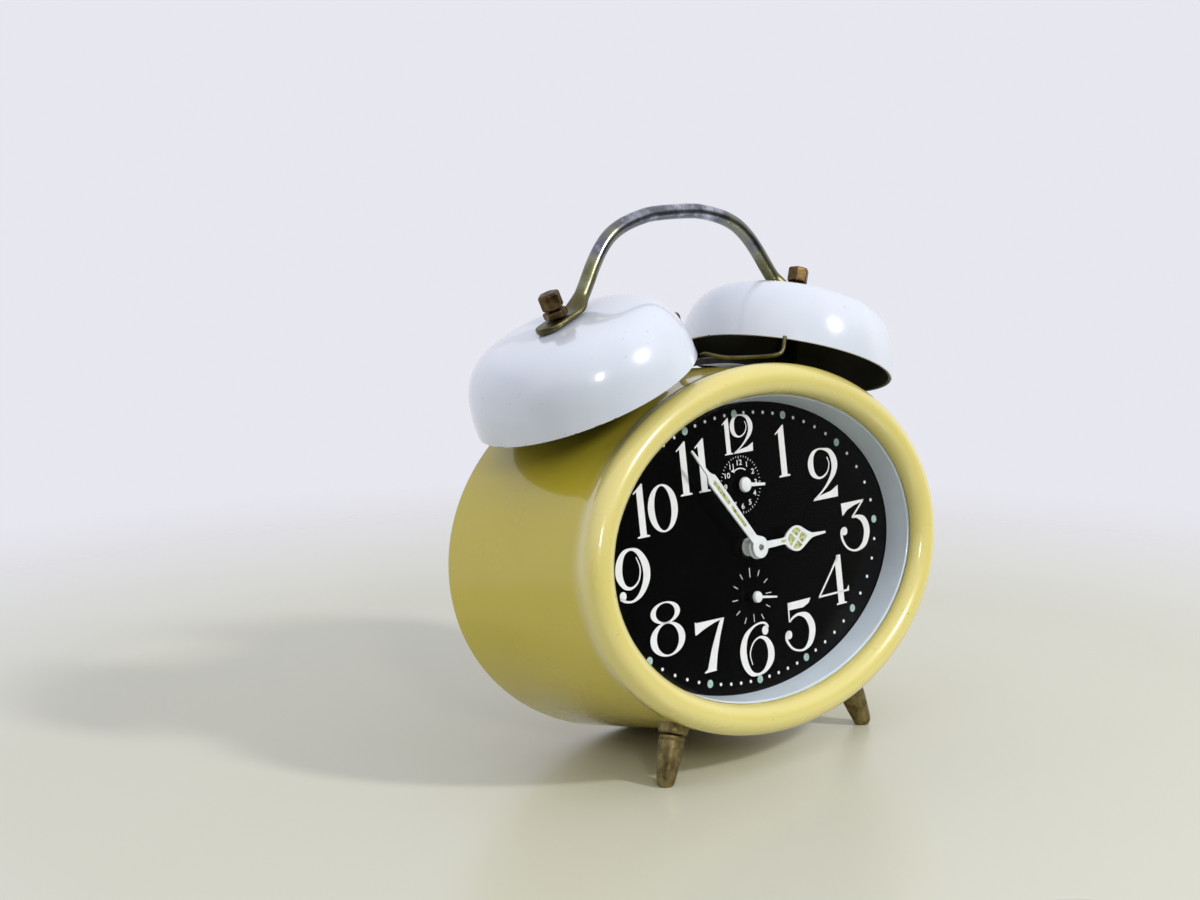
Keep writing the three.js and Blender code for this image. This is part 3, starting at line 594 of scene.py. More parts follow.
def prism(outline, y_front, y_back):
    """A flat outline in X and Z given thickness, as ink, paint and thin plates have."""
    front = [(x, y_front, z) for x, z in outline]
    back = [(x, y_back, z) for x, z in outline]
    return loft([front, back])


def curve_part(curve, matrix):
    """Turns a curve or a text into a (verts, faces) part and removes it."""
    holder = bpy.data.objects.new(curve.name, curve)
    bpy.context.scene.collection.objects.link(holder)
    mesh = evaluated_mesh(holder)
    bpy.data.objects.remove(holder)
    verts = [tuple(matrix @ v.co) for v in mesh.vertices]
    faces = [tuple(p.vertices) for p in mesh.polygons]
    bpy.data.meshes.remove(mesh)
    return verts, faces


def flat_part(loops, thickness, bevel, matrix):
    """Flat outlines with holes, given thickness and rounded edges."""
    curve = bpy.data.curves.new("flat", "CURVE")
    curve.dimensions = "2D"
    curve.fill_mode = "BOTH"
    curve.extrude = thickness / 2 - bevel
    curve.bevel_depth = bevel
    curve.bevel_resolution = 2
    curve.offset = -bevel
    for loop in loops:
        spline = curve.splines.new("POLY")
        spline.points.add(len(loop) - 1)
        for point, (x, y) in zip(spline.points, loop):
            point.co = (x, y, 0, 1)
        spline.use_cyclic_u = True
    return curve_part(curve, matrix)


def carve(obj, cutters):
    """Cuts closed (verts, faces) parts in case millimetres out of a piece."""
    cutter = bpy.data.objects.new("cutter", joined_mesh("cutter", cutters, CASE))
    bpy.context.scene.collection.objects.link(cutter)
    modifier = obj.modifiers.new("cut", "BOOLEAN")
    modifier.operation = "DIFFERENCE"
    modifier.solver = "EXACT"
    modifier.object = cutter
    result = evaluated_mesh(obj)
    obj.modifiers.clear()
    obj.data = result
    tidy(obj.data)
    flatten(obj)
    bpy.data.objects.remove(cutter)


def box_part(low, high):
    corners = [(x, y, z) for z in (low[2], high[2]) for x, y in (
        (low[0], low[1]), (high[0], low[1]), (high[0], high[1]), (low[0], high[1]))]
    return loft([corners[:4], corners[4:]])


# ---- Case -------------------------------------------------------------------------


def bead_point(degrees):
    out = BEAD["radius"] * math.cos(math.radians(degrees))
    y = BEAD["y"] + BEAD["radius"] * math.sin(math.radians(degrees))
    return BEAD["a"] + out, BEAD["b"] + out, y


def hammer_slot():
    """The opening in the bridge and the drum that the hammer's rod swings in."""
    across, along = SLOT_HALF
    return box_part((-across, MIDDLE_Y - along, 40), (across, MIDDLE_Y + along, 52))


def case_section():
    """Round the bead, back along the drum, over its rolled rear rim and home inside."""
    section = [bead_point(degrees) for degrees in range(180, 386, 8)]
    section += [(62.6, 45.05, -5.2), (62.25, 44.95, -4.3), (62.0, 44.9, -3.2), (61.87, 44.92, -1.8)]
    section += [DRUM_FRONT]
    section += [(62.35, 45.6, 20.6), (62.88, 46.17, 40.7), DRUM_BACK]
    section += [(62.6, 45.9, 41.3), (62.2, 45.5, 41.1), (62.1, 45.4, 40.6)]
    section += [(61.0, 44.2, 0.0), (60.6, 43.4, -4.2), (57.0, 39.3, -6.6)]
    return section


def build_case():
    drum = piece("case_shell", [oval_ring(case_section())], "yellow_enamel", replaces=("case_drum",))
    # The "bead" mask rises from the drum to the bead, turning yellow_enamel's painted shade into painted
    # light.
    paint(drum, "bead", CASE, lambda point: clamped((-point.y - 2.0) / 5.0))
    carve(drum, [hammer_slot()])

    ring = [(54.8, 36.2, -0.3), (54.86, 36.5, -2.5), (54.95, 36.9, -5.0), (55.1, 37.3, -7.0)]
    ring += [(55.3, 37.5, -7.2), (55.9, 38.0, -7.2), (55.7, 37.1, -0.3)]
    piece("reflector_ring", [oval_ring(ring)], "grey_enamel", replaces=("dial_ring",))

    edge = ((0.4, -8.6), (0.1, -8.45), (0.0, -8.2), (0.0, -7.9), (0.2, -7.6))
    slab = [oval(CRYSTAL[0] - inset, CRYSTAL[1] - inset, y, FLAT_OVAL_STEPS) for inset, y in edge]
    piece("crystal_pane", [loft(slab)], "crystal_glass", replaces=("crystal",), sharp=12)

    holes = [circle(2.5), circle(1.3, 0, ALARM_Z), circle(0.9, 0, SECONDS_Z)]
    outline = [(x, z) for x, _, z in oval(*DIAL, 0, FLAT_OVAL_STEPS)]
    where = Matrix.Translation((0, 0.4, 0)) @ DIAL_MAP
    piece("dial_face", [flat_part([outline, *holes], 0.8, 0.05, where)], "dial_black",
          replaces=("dial_plate",))


# ---- Dial print ---------------------------------------------------------------------


def stroke(points):
    """A pen stroke through (x, z, width) points."""
    line = smooth_line(points, 8)
    rings = []
    for i, (x, z, width) in enumerate(line):
        ahead = Vector(line[min(i + 1, len(line) - 1)][:2]) - Vector(line[max(i - 1, 0)][:2])
        normal = Vector((-ahead.y, ahead.x)).normalized() * width / 2
        left, right = (x + normal.x, z + normal.y), (x - normal.x, z - normal.y)
        rings.append([(left[0], INK[0], left[1]), (right[0], INK[0], right[1]),
                      (right[0], INK[1], right[1]), (left[0], INK[1], left[1])])
    return loft(rings)


def patch(points):
    return prism(points, *INK)


def dot(x, z, radius, steps=20):
    return patch(circle(radius, x, z, steps))


def eye(x, z, half_width, half_height, side_pen, end_pen):
    """A closed loop, thick at its sides and thin at its top and bottom."""
    hole_width, hole_height = half_width - side_pen, half_height - end_pen
    corners = ((half_width, half_height, INK[0]), (half_width, half_height, INK[1]),
               (hole_width, hole_height, INK[1]), (hole_width, hole_height, INK[0]))
    rings = [[(x + dx, y, z + dz) for dx, _, dz in oval(a, b, y, 64)] for a, b, y in corners]
    return loft(rings, close=True)


def one(x, foot, height):
    """An upright 1 with a flag, a flat foot and a 2 mm stem."""
    top = foot + height
    outline = [(-2.2, top - 2.0), (0.75, top), (1.1, top), (1.1, foot + 0.55), (2.1, foot + 0.35),
               (2.1, foot), (-2.0, foot), (-2.0, foot + 0.35), (-1.05, foot + 0.55),
               (-1.05, top - 1.75), (-2.15, top - 2.3)]
    return [patch([(x + dx, z) for dx, z in outline])]


def two(x, foot, scale=1.0):
    """A 2 whose bowl closes inside itself in a hairline, scaled about its foot."""
    pen = [(7.3, 10.7, 0.3), (7.9, 8.9, 0.35), (7.0, 6.9, 0.4), (5.0, 5.75, 0.5), (3.0, 5.8, 0.7),
           (1.2, 7.2, 1.7), (0.7, 9.6, 2.1), (1.7, 11.9, 1.3), (3.7, 13.0, 0.5), (6.0, 12.9, 0.5),
           (8.6, 11.9, 1.4), (10.0, 9.2, 2.3), (9.4, 6.6, 1.8), (7.2, 4.2, 0.9), (4.2, 2.0, 0.5),
           (0.8, 0.25, 0.4)]
    base = [(0.4, 0.0), (10.2, 0.0), (10.5, 3.0), (10.0, 2.75), (7.6, 1.75), (3.6, 1.15), (2.2, 1.0)]
    return [stroke([(x + px * scale, foot + pz * scale, w * scale) for px, pz, w in pen]),
            patch([(x + px * scale, foot + pz * scale) for px, pz in base])]


def three():
    flag = [(37.3, 5.8), (46.6, 5.8), (45.9, 5.3), (42.4, 4.7), (39.6, 3.9), (37.5, 2.5)]
    pen = [(41.2, 1.65, 0.35), (43.4, 1.6, 0.9), (45.8, 0.3, 2.0), (46.7, -2.5, 2.3),
           (45.4, -5.5, 1.8), (43.0, -6.9, 0.8), (40.6, -7.0, 0.5), (38.2, -5.9, 0.6),
           (36.6, -3.6, 0.8), (36.5, -1.6, 0.9), (37.3, -0.6, 0.6)]
    return [patch(flag), stroke([(46.2, 5.6, 0.5), (43.7, 3.6, 0.5), (41.2, 1.65, 0.45)]),
            stroke(pen), dot(37.7, -1.5, 1.1)]


def four():
    stem = [(32.7, -9.4), (33.5, -7.2), (35.0, -7.2), (35.0, -19.6), (35.9, -19.8), (35.9, -20.1),
            (31.9, -20.1), (31.9, -19.8), (32.7, -19.6)]
    bar = [(25.0, -17.1), (37.2, -17.1), (37.3, -15.6), (36.9, -16.0), (36.3, -16.6), (25.6, -16.6)]
    slant = [(34.2, -7.4, 0.6), (29.8, -12.2, 0.55), (25.3, -16.9, 0.5)]
    return [patch(stem), patch(bar), stroke(slant)]


def five():
    flag = [(12.9, -16.4), (21.8, -16.4), (20.9, -17.6), (18.6, -18.4), (13.3, -18.3)]
    pen = [(13.0, -21.3, 0.4), (14.6, -20.3, 0.6), (17.0, -19.9, 0.8), (19.9, -21.0, 1.9),
           (21.4, -24.0, 2.4), (20.4, -27.2, 1.9), (18.2, -28.9, 0.8), (15.9, -29.1, 0.5),
           (13.2, -28.1, 0.6), (11.4, -25.9, 0.8), (11.4, -24.4, 0.9), (12.1, -23.6, 0.6)]
    return [patch(flag), stroke([(13.1, -16.5, 0.45), (12.95, -21.3, 0.45)]), stroke(pen),
            dot(12.4, -24.5, 1.1)]


def six():
    pen = [(4.7, -21.2, 1.0), (3.9, -20.0, 0.6), (1.9, -19.6, 0.5), (-0.8, -20.2, 0.6),
           (-3.6, -22.1, 1.5), (-5.1, -25.4, 2.3), (-4.7, -28.9, 2.1), (-2.9, -31.5, 1.3),
           (-0.2, -32.2, 0.6), (2.4, -31.5, 1.1), (4.6, -29.3, 2.2), (5.0, -26.6, 2.2),
           (3.7, -24.1, 1.3), (1.3, -23.1, 0.5), (-1.2, -24.1, 0.4), (-2.7, -26.6, 0.35),
           (-2.2, -29.5, 0.25)]
    return [stroke(pen), dot(3.6, -21.7, 1.15)]


def seven():
    flag = [(-21.3, -15.4), (-20.8, -15.7), (-10.8, -15.9), (-11.6, -16.2), (-14.4, -16.6),
            (-18.2, -17.6), (-21.0, -18.6), (-21.5, -18.6)]
    leg = [(-10.8, -15.9), (-12.9, -20.4), (-14.4, -24.4), (-15.3, -28.0), (-15.2, -28.4),
           (-19.5, -28.4), (-19.4, -28.1), (-18.3, -27.6), (-16.2, -22.8), (-13.2, -17.6),
           (-12.0, -16.0)]
    return [patch(flag), patch(leg)]


def eight():
    return [eye(-31.0, -11.3, 5.05, 2.65, 1.75, 0.35), eye(-31.0, -17.75, 6.0, 4.15, 2.2, 0.4)]


def nine():
    pen = [(-38.9, 3.4, 0.25), (-37.9, 0.6, 0.4), (-38.8, -2.3, 0.45), (-41.2, -3.7, 0.6),
           (-43.6, -3.0, 1.2), (-45.0, -0.4, 2.2), (-44.6, 2.6, 2.1), (-42.9, 4.9, 1.2),
           (-40.4, 5.5, 0.6), (-37.9, 4.4, 1.4), (-36.0, 1.2, 2.3), (-36.1, -2.2, 2.2),
           (-38.2, -5.3, 1.4), (-41.0, -6.8, 0.6), (-43.6, -6.6, 0.6), (-45.3, -5.6, 0.9)]
    return [stroke(pen), dot(-44.4, -5.2, 1.1)]


def numerals():
    parts = one(16.6, 15.6, 13.2) + two(26.2, 7.9) + three() + four() + five() + six() + seven()
    parts += eight() + nine() + one(-35.6, 7.6, 12.9) + [eye(-28.2, 13.7, 5.1, 5.8, 2.2, 0.4)]
    parts += one(-19.6, 15.6, 13.2) + one(-13.1, 15.6, 13.2)
    small = 0.72  # the 12 is smaller than the rest
    parts += [([(x * small - 3.2, y, (z - 23.6) * small + 23.6) for x, y, z in verts], faces)
              for verts, faces in one(0, 23.6, 12.7)]
    parts += two(-1.7, 23.6, small)
    return parts


def track_radius(degrees, a, b):
    """How far an oval of half axes a and b reaches at a clockwise angle from 12."""
    t = math.radians(degrees)
    return 1 / math.hypot(math.sin(t) / a, math.cos(t) / b)


def minute_marks():
    lume, dots = [], []
    for minute in range(60):
        degrees = minute * 6
        reach = track_radius(degrees, *MINUTE_TRACK)
        x, z = reach * math.sin(math.radians(degrees)), reach * math.cos(math.radians(degrees))
        if minute % 5 == 0:
            lume.append(dot(x, z, 1.0, 28))
        else:
            dots.append(dot(x, z, 0.42))
    return lume, dots


def tick(centre_z, degrees, inner, outer, width):
    direction = Vector((math.sin(math.radians(degrees)), math.cos(math.radians(degrees))))
    start, end = direction * inner, direction * outer
    return stroke([(start.x, centre_z + start.y, width), (end.x, centre_z + end.y, width)])


def small_dial_marks():
    parts = [tick(SECONDS_Z, 0, 4.9, 7.3, 0.2)]
    for hour in range(1, 12):
        outer = 6.4 if hour == 6 else 7.2
        length = 2.0 if hour % 3 == 0 else 1.6
        parts.append(tick(SECONDS_Z, hour * 30, outer - length, outer, 0.17))
    for quarter in range(48):
        length = 0.7 if quarter % 4 == 0 else 0.4
        parts.append(tick(ALARM_Z, quarter * 7.5, 7.3 - length, 7.3, 0.13))
    arc = []
    for degrees in range(-32, 33, 8):
        t = math.radians(degrees)
        arc.append((4.1 * math.sin(t), ALARM_Z + 4.1 * math.cos(t), 0.28))
    parts.append(stroke(arc))
    parts.append(patch([(-3.2, ALARM_Z + 3.7), (-2.0, ALARM_Z + 4.3), (-1.9, ALARM_Z + 3.2)]))
    return parts


def small_numbers():
    """The alarm dial's hours, 1.3 mm tall, in the plain built-in face."""
    parts = []
    for hour in range(1, 13):
        curve = bpy.data.curves.new("hour", "FONT")
        curve.body = str(hour)
        curve.size = 1.9
        curve.offset = 0.012
        curve.align_x = "CENTER"
        curve.align_y = "CENTER"
        curve.extrude = 0.02
        t = math.radians(hour * 30)
        where = Matrix.Translation((5.5 * math.sin(t), -0.03, ALARM_Z + 5.5 * math.cos(t))) @ DIAL_MAP
        where = where @ Matrix.Diagonal((1.25, 1, 1, 1))
        parts.append(curve_part(curve, where))
    return parts


def build_print():
    lume, dots = minute_marks()
    ink = numerals() + dots + small_dial_marks() + small_numbers()
    piece("dial_print", ink, "print_white", sharp=20)
    piece("dial_lume_dots", lume, "lume_dot", sharp=20)


# ---- Hands ---------------------------------------------------------------------------


def mirrored(half):
    """A closed outline from one side's (half width, reach) points."""
    return [(w, r) for w, r in half] + [(-w, r) for w, r in reversed(half)]


def hub(radius, bore, y_front, y_back):
    """A turned boss round the hands' arbor, with its edges rounded."""
    soft = 0.12
    depth = y_back - y_front
    profile = [(bore, 0.0), (radius - soft, 0.0), (radius, soft), (radius, depth - soft),
               (radius - soft, depth), (bore, depth)]
    rings = [[(x, y_front + level, z) for x, z in circle(reach, steps=48)] for reach, level in profile]
    return loft(rings, close=True)


def slot_loop(start, end, half):
    """A long hole between two distances from the arbor, with round ends."""
    loop = []
    for centre, turn in ((end - half, 0.0), (start + half, math.pi)):
        for i in range(9):
            t = turn + math.pi * i / 8
            loop.append((half * math.cos(t), centre + half * math.sin(t)))
    return loop


def build_minute_hand():
    half = [(1.15, 1.0), (1.2, 6.0), (1.55, 22.5), (1.5, 24.2), (0.9, 25.1), (0.55, 26.1), (0.28, 33.8)]
    windows = [slot_loop(7.4, 14.6, 0.42), slot_loop(15.4, 23.4, 0.5)]
    where = Matrix.Translation((0, -4.45, 0)) @ turned_about(0, 0, MINUTE_ANGLE)
    arbor = lathe([(0, 0), (0.45, 0), (0.62, 0.15), (0.62, 3.0), (0, 3.0)], 24, along_y(0, 0, -5.2))
    piece("minute_hand_blade", [flat_part([mirrored(half), *windows], 0.5, 0.1, where),
                                hub(2.75, 0.75, -4.8, -4.2)],
          "hand_white", "minute_set", replaces=("minute_hand",))
    fill = [flat_part([slot_loop(a, b, w)], 0.3, 0.02, where) for a, b, w in (
        (7.45, 14.55, 0.39), (15.45, 23.35, 0.47))]
    piece("minute_hand_lume", fill, "lume_old", "minute_set")
    piece("minute_arbor_tip", [arbor], "steel", "minute_set")


def leaf_windows():
    """The four openings of the hour hand's leaf, with a cross of thin ribs between them."""
    near = [(0, 14.6), (-0.9, 13.6), (-1.7, 12.9), (-1.2, 12.1), (0, 11.7), (1.2, 12.1), (1.7, 12.9),
            (0.9, 13.6)]
    far = [(0, 15.7), (0.7, 16.3), (1.45, 17.0), (0.9, 18.1), (0, 19.1), (-0.9, 18.1), (-1.45, 17.0),
           (-0.7, 16.3)]
    side = [(0.55, 15.2), (1.2, 14.3), (2.05, 13.3), (2.55, 14.0), (2.72, 15.0), (2.45, 16.0),
            (1.85, 16.9), (1.2, 16.1)]
    return [near, far, side, [(-x, y) for x, y in reversed(side)]]


def build_hour_hand():
    half = smooth_line([(0.95, 1.0), (0.9, 6.0), (0.85, 10.3), (1.7, 11.4), (2.8, 13.2), (3.25, 15.0),
                        (2.95, 16.6), (2.0, 18.3), (1.1, 19.9), (0.55, 21.6), (0.28, 26.2)], 4)
    stem_slot = slot_loop(8.9, 10.9, 0.34)
    where = Matrix.Translation((0, -3.25, 0)) @ turned_about(0, 0, HOUR_ANGLE)
    blade = flat_part([mirrored(half), *leaf_windows(), stem_slot], 0.5, 0.08, where)
    pipe = hub(2.28, 2.05, -3.0, -0.3)
    piece("hour_hand_blade", [blade, hub(2.95, 2.05, -3.6, -3.0), pipe],
          "hand_white", "hour_set", replaces=("hour_hand",))
    leaf = [(w * 0.86, 15.1 + (r - 15.1) * 0.86) for w, r in half if 11.2 < r < 19.9]
    fill = [flat_part([mirrored(leaf)], 0.24, 0.02, where), flat_part([stem_slot], 0.24, 0.02, where)]
    piece("hour_hand_lume", fill, "lume_old", "hour_set")


def build_pointer(name, body, node, z, degrees, y, half, thickness, boss):
    """A small hand with a turned boss on its arbor at height z."""
    blade = flat_part([mirrored(half)], thickness, 0.08,
                      Matrix.Translation((0, y, 0)) @ turned_about(0, z, degrees))
    piece(name, [blade, lathe(boss, 40, along_y(0, z, y - 0.5))], "hand_white", body, replaces=(node,))


def build_small_hands():
    build_pointer("alarm_pointer", "alarm_set", "alarm_hand", ALARM_Z, ALARM_ANGLE, -1.7,
                  [(0.5, 0.5), (0.45, 3.0), (0.34, 7.0)], 0.4,
                  [(0, 0), (1.2, 0), (1.75, 0.2), (1.9, 0.55), (1.9, 0.95), (0, 0.95)])
    build_pointer("seconds_pointer", "seconds_set", "seconds_hand", SECONDS_Z, SECONDS_ANGLE, -2.1,
                  [(0.34, 0.4), (0.3, 3.0), (0.22, 6.95)], 0.36,
                  [(0, 0), (0.8, 0), (1.3, 0.2), (1.45, 0.5), (1.45, 1.0), (0, 1.0)])


# ---- Bells, bridge, posts, nuts ---------------------------------------------------------


def bell_curve(radius, height, steps=44):
    """From the rim up to the hole: a round shoulder over a nearly upright side."""
    side_power, rise_power = BELL_POWERS
    points = []
    for i in range(steps + 1):
        t = (math.pi / 2) * i / steps
        reach = radius * max(0.0, math.cos(t)) ** side_power
        if reach > BELL["hole"]:
            points.append((reach, height * math.sin(t) ** rise_power))
    return points


def bell_profile():
    radius, height, wall, hole = (BELL[key] for key in ("radius", "height", "wall", "hole"))
    outside = bell_curve(radius, height)
    crown = [(hole, height), (hole, height - wall)]
    inside = bell_curve(radius - wall, height - wall)
    return outside + crown + inside[::-1] + [(radius - 0.7, -0.1), (radius - 0.25, -0.12)]


def build_bell(side, label):
    """A dome, white outside and black inside, with its rim marked for the chips."""
    dome = lathe(bell_profile(), 96, bell_matrix(side, 0), close=True)
    bell = piece(f"{label}_bell_dome", [dome], "white_enamel", replaces=(f"{label}_bell",), sharp=40)
    bell.data.materials.append(FINISHES["bell_inside"])
    centre = CASE @ bell_matrix(side, -6).translation
    for face in bell.data.polygons:
        if (face.center - centre).dot(face.normal) < 0:
            face.material_index = 1
    paint(bell, "rim", CASE @ bell_matrix(side, 0), lambda point: clamped(1.0 - point.z / 0.8))


def bridge_height(x, growth):
    """The top of the case's oval at the bridge, grown outward."""
    share = 19.0 / DRUM_BACK[2]
    a = DRUM_FRONT[0] + (DRUM_BACK[0] - DRUM_FRONT[0]) * share + growth
    b = DRUM_FRONT[1] + (DRUM_BACK[1] - DRUM_FRONT[1]) * share + growth
    return b * math.sqrt(1 - (x / a) ** 2)


def build_bridge():
    rings = []
    edge = 0.35
    front, back = BRIDGE["y"], BRIDGE["y"] + BRIDGE["depth"]
    for i in range(65):
        x = BRIDGE["half"] * (i / 32 - 1)
        low, high = bridge_height(x, BRIDGE["under"]), bridge_height(x, BRIDGE["over"])
        rings.append([(x, front, low), (x, front, high - edge), (x, front + edge, high),
                      (x, back - edge, high), (x, back, high - edge), (x, back, low)])
    # Its black enamel is a painted reflection: the dark strip over the case's top stands in for the
    # bells' dark insides mirrored in the glossy yellow top.
    bridge = piece("bell_bridge_painted_reflection", [loft(rings)], "black_enamel", replaces=("bell_bridge",))
    carve(bridge, [hammer_slot()])


def build_post(side, label):
    shoulder = BELL["height"] - BELL["wall"] - GAP
    tip = BELL["height"] + STUD_LENGTH
    profile = [(0, -2.2), (3.6, -2.2), (3.6, -0.9), (3.1, -0.6), (3.1, shoulder - 0.3),
               (2.8, shoulder), (1.5, shoulder)]
    thread = [(1.5 if i % 2 else 1.3, shoulder + 0.3 + i * 0.3) for i in range(24)]
    profile += thread + [(1.2, tip), (0, tip)]
    piece(f"{label}_post", [lathe(profile, 40, bell_matrix(side, 0))], "black_enamel",
          replaces=(f"{label}_bell_post",))


def hex_part(flats, height, chamfer, where):
    """A hexagon nut with broken corners, standing on its own Z axis."""
    corner = flats / math.sqrt(3)
    slope = chamfer * 0.6
    profile = [(corner - chamfer, 0), (corner, slope),
               (corner, height - slope), (corner - chamfer, height)]
    return lathe(profile, 6, where)


def soften(obj, width, segments=3):
    """Rounds a piece's edges, as wear and plating do."""
    bevel = obj.modifiers.new("worn edges", "BEVEL")
    bevel.width = width * MM
    bevel.segments = segments
    bevel.limit_method = "ANGLE"
    bevel.angle_limit = math.radians(28)
    bevel.harden_normals = True


def build_nut(name, node, side, level, flats, height, chamfer, degrees, wear):
    where = bell_matrix(side, level) @ Matrix.Rotation(math.radians(degrees), 4, "Z")
    prism = hex_part(flats, height, chamfer, where)
    soften(piece(name, [prism], "brown_brass", replaces=(node,)), wear)


def build_nuts(side, label):
    """A thin nut on the lug and a tall cap nut above it."""
    seat = BELL["height"] + LUG_THICKNESS + 2 * GAP
    build_nut(f"{label}_hex_nut", f"{label}_lug_nut", side, seat, 5.4, LUG_NUT_HEIGHT, 0.3, 12, 0.18)
    top = seat + LUG_NUT_HEIGHT + GAP
    build_nut(f"{label}_cap", f"{label}_cap_nut", side, top, 5.0, 4.15, 0.55, 34, 0.42)


# ---- Handle ------------------------------------------------------------------------------


def half_path():
    """The right half of the handle's middle line, from the arch's top to the lug's end."""
    hole = bell_matrix(1, BELL["height"] + GAP + LUG_THICKNESS / 2).translation
    out = Vector((math.cos(BELL_TILT), 0, -math.sin(BELL_TILT)))
    arch = [(0, 85.27), (5, 85.18), (10, 84.8), (17, 83.2), (22.4, 80.9), (26.4, 77.7),
            (29.8, 73.6), (32.7, 69.3), (34.7, 66.5)]
    points = [Vector((x, MIDDLE_Y, z)) for x, z in arch]
    points += [hole - out * 6.2 + Vector((0, 0, 0.3)), hole - out * 3.4, hole, hole + out * 6.75]
    return smooth_line([tuple(p) for p in points], 8)


def handle_sections(path):
    """Round along the arch, flattening into the lug and round again at its end."""
    lug_start, flat_from, end = 66.9, 62.7, path[-1]
    sections = []
    for x, _, z in path:
        flat = clamped((lug_start - z) / (lug_start - flat_from))
        flat = flat * flat * (3 - 2 * flat)
        left = math.dist((x, z), (end[0], end[2]))
        round_end = math.sqrt(max(0.0, 1 - max(0.0, 1 - left / 3.7) ** 2))
        width = (HANDLE_RADIUS + 1.8 * flat) * (1 if flat < 1 else max(0.12, round_end))
        thickness = HANDLE_RADIUS + (LUG_THICKNESS / 2 - HANDLE_RADIUS) * flat
        sections.append(rounded(width, thickness, 2.0 + 2.6 * flat, 28))
    return sections


def build_handle():
    right = half_path()
    sections = handle_sections(right)
    left = [(-x, y, z) for x, y, z in reversed(right[1:])]
    path = left + right
    rings = sections[:0:-1] + sections
    handle = piece("handle_arch", [sweep(path, rings, (0, 1, 0))], "worn_nickel",
                   replaces=("carry_handle",), sharp=50)
    # Stain and painted reflection grow from the arch's top towards the lugs.
    paint(handle, "stain_and_reflection", CASE, lambda point: clamped((84.5 - point.z) / 22.0))


# ---- Hammer and wire ------------------------------------------------------------------------


def build_hammer():
    upright = Matrix.Translation((0, MIDDLE_Y, 0))
    rod = lathe([(0, HAMMER_Z), (0.9, HAMMER_Z), (0.9, 55.0), (0, 55.0)], 20, upright)
    head = lathe([(0, 54.3), (1.9, 54.3), (2.5, 54.6), (2.8, 55.3), (2.8, 59.3), (2.5, 60.0),
                  (1.9, 60.3), (0, 60.3)], 48, upright)
    arbor = lathe([(0, 0), (1.1, 0), (1.1, 17.7), (0, 17.7)], 24, along_y(0, HAMMER_Z, 6.0))
    anchor = [(-9.4, -8.2), (-8.0, -9.4), (-1.2, -1.6), (1.2, -1.6), (4.6, -6.0), (5.8, -5.0),
              (1.6, 1.8), (-1.6, 1.8)]
    plate = prism([(x, HAMMER_Z + z) for x, z in anchor], 19.5, 20.3)
    pivot = Matrix.Translation((0, 0, HAMMER_Z))
    leaning = CASE @ pivot @ Matrix.Rotation(HAMMER_LEAN, 4, "Y") @ pivot.inverted()
    piece("hammer_assembly", [rod, head, arbor, plate], "dark_steel", "hammer",
          replaces=("hammer",), matrix=leaning)


def build_wire():
    """From the bridge forward over the case, then up into the right bell."""
    points = [(0.4, 9.6, 48.6), (0.9, 8.2, 48.85), (4, 4.4, 47.5), (9, -1.2, 46.9),
              (12.4, -4.9, 46.9), (14.4, -5.4, 47.8), (15.3, -5.4, 49.6), (15.8, -5.4, 51.3)]
    path = smooth_line(points, 8)
    wire = piece("silencer_wire", [sweep(path, [rounded(0.5, 0.5, 2, 14)] * len(path), (0, 0, 1))],
                 "worn_nickel", replaces=("strike_wire",))
    # A fixed share of stain and painted reflection: the wire is dark olive-brown along its whole length.
    paint(wire, "stain_and_reflection", CASE, lambda point: 0.75)


# ---- Feet --------------------------------------------------------------------------------------


def foot_matrix(side):
    direction = Vector((side * 0.394, -0.165, -1.0)).normalized()
    turn = Vector((0, 0, 1)).rotation_difference(direction).to_matrix().to_4x4()
    return Matrix.Translation((side * 32.4, -6.0, -38.84)) @ turn


def cut_level(obj):
    """Trims a foot flat on the surface that it stands on."""
    work = bmesh.new()
    work.from_mesh(obj.data)
    geometry = work.verts[:] + work.edges[:] + work.faces[:]
    cut = bmesh.ops.bisect_plane(work, geom=geometry, plane_co=(0, 0, 0.00001), plane_no=(0, 0, -1),
                                 clear_outer=True)
    rim = [e for e in cut["geom_cut"] if isinstance(e, bmesh.types.BMEdge)]
    bmesh.ops.contextual_create(work, geom=rim)
    work.to_mesh(obj.data)
    work.free()
    tidy(obj.data)


def build_foot(side, label):
    where = foot_matrix(side)
    leg = [(0, 1.8), (2.9, 1.8), (3.15, 2.0), (3.2, 2.6), (3.05, 2.9), (3.2, 3.2), (3.22, 5.0),
           (2.9, 8.0), (2.5, 11.2), (2.25, 12.8), (1.9, 13.7), (1.2, 14.4), (0, 14.6)]
    foot = piece(f"{label}_foot_leg", [lathe(leg, 48, where)], "foot_brass",
                 replaces=(f"{label}_foot",), matrix=STANDING)
    cut_level(foot)
    collar = [(0, -1.6), (3.4, -1.6), (3.68, -1.3), (3.7, 0.6), (3.5, 1.2), (3.1, 1.5), (0, 1.5)]
    piece(f"{label}_foot_flange", [lathe(collar, 48, where)], "foot_brass",
          replaces=(f"{label}_foot_collar",), matrix=STANDING)


# ---- Back: cover, keys, knobs ------------------------------------------------------------------


def drill(x, z, radius):
    return lathe([(0, -3), (radius, -3), (radius, 6), (0, 6)], 36, along_y(x, z, COVER_Y[0]))


def regulator_slot():
    inner, outer = [], []
    for i in range(17):
        t = -math.pi / 2 + REGULATOR["swing"] * (i / 8 - 1)
        for loop, r in ((inner, REGULATOR["reach"] - REGULATOR["slot"]),
                        (outer, REGULATOR["reach"] + REGULATOR["slot"])):
            loop.append((REGULATOR["x"] + r * math.cos(t), REGULATOR["z"] + r * math.sin(t)))
    return prism(outer + inner[::-1], COVER_Y[0] - 3, COVER_Y[1] + 3)


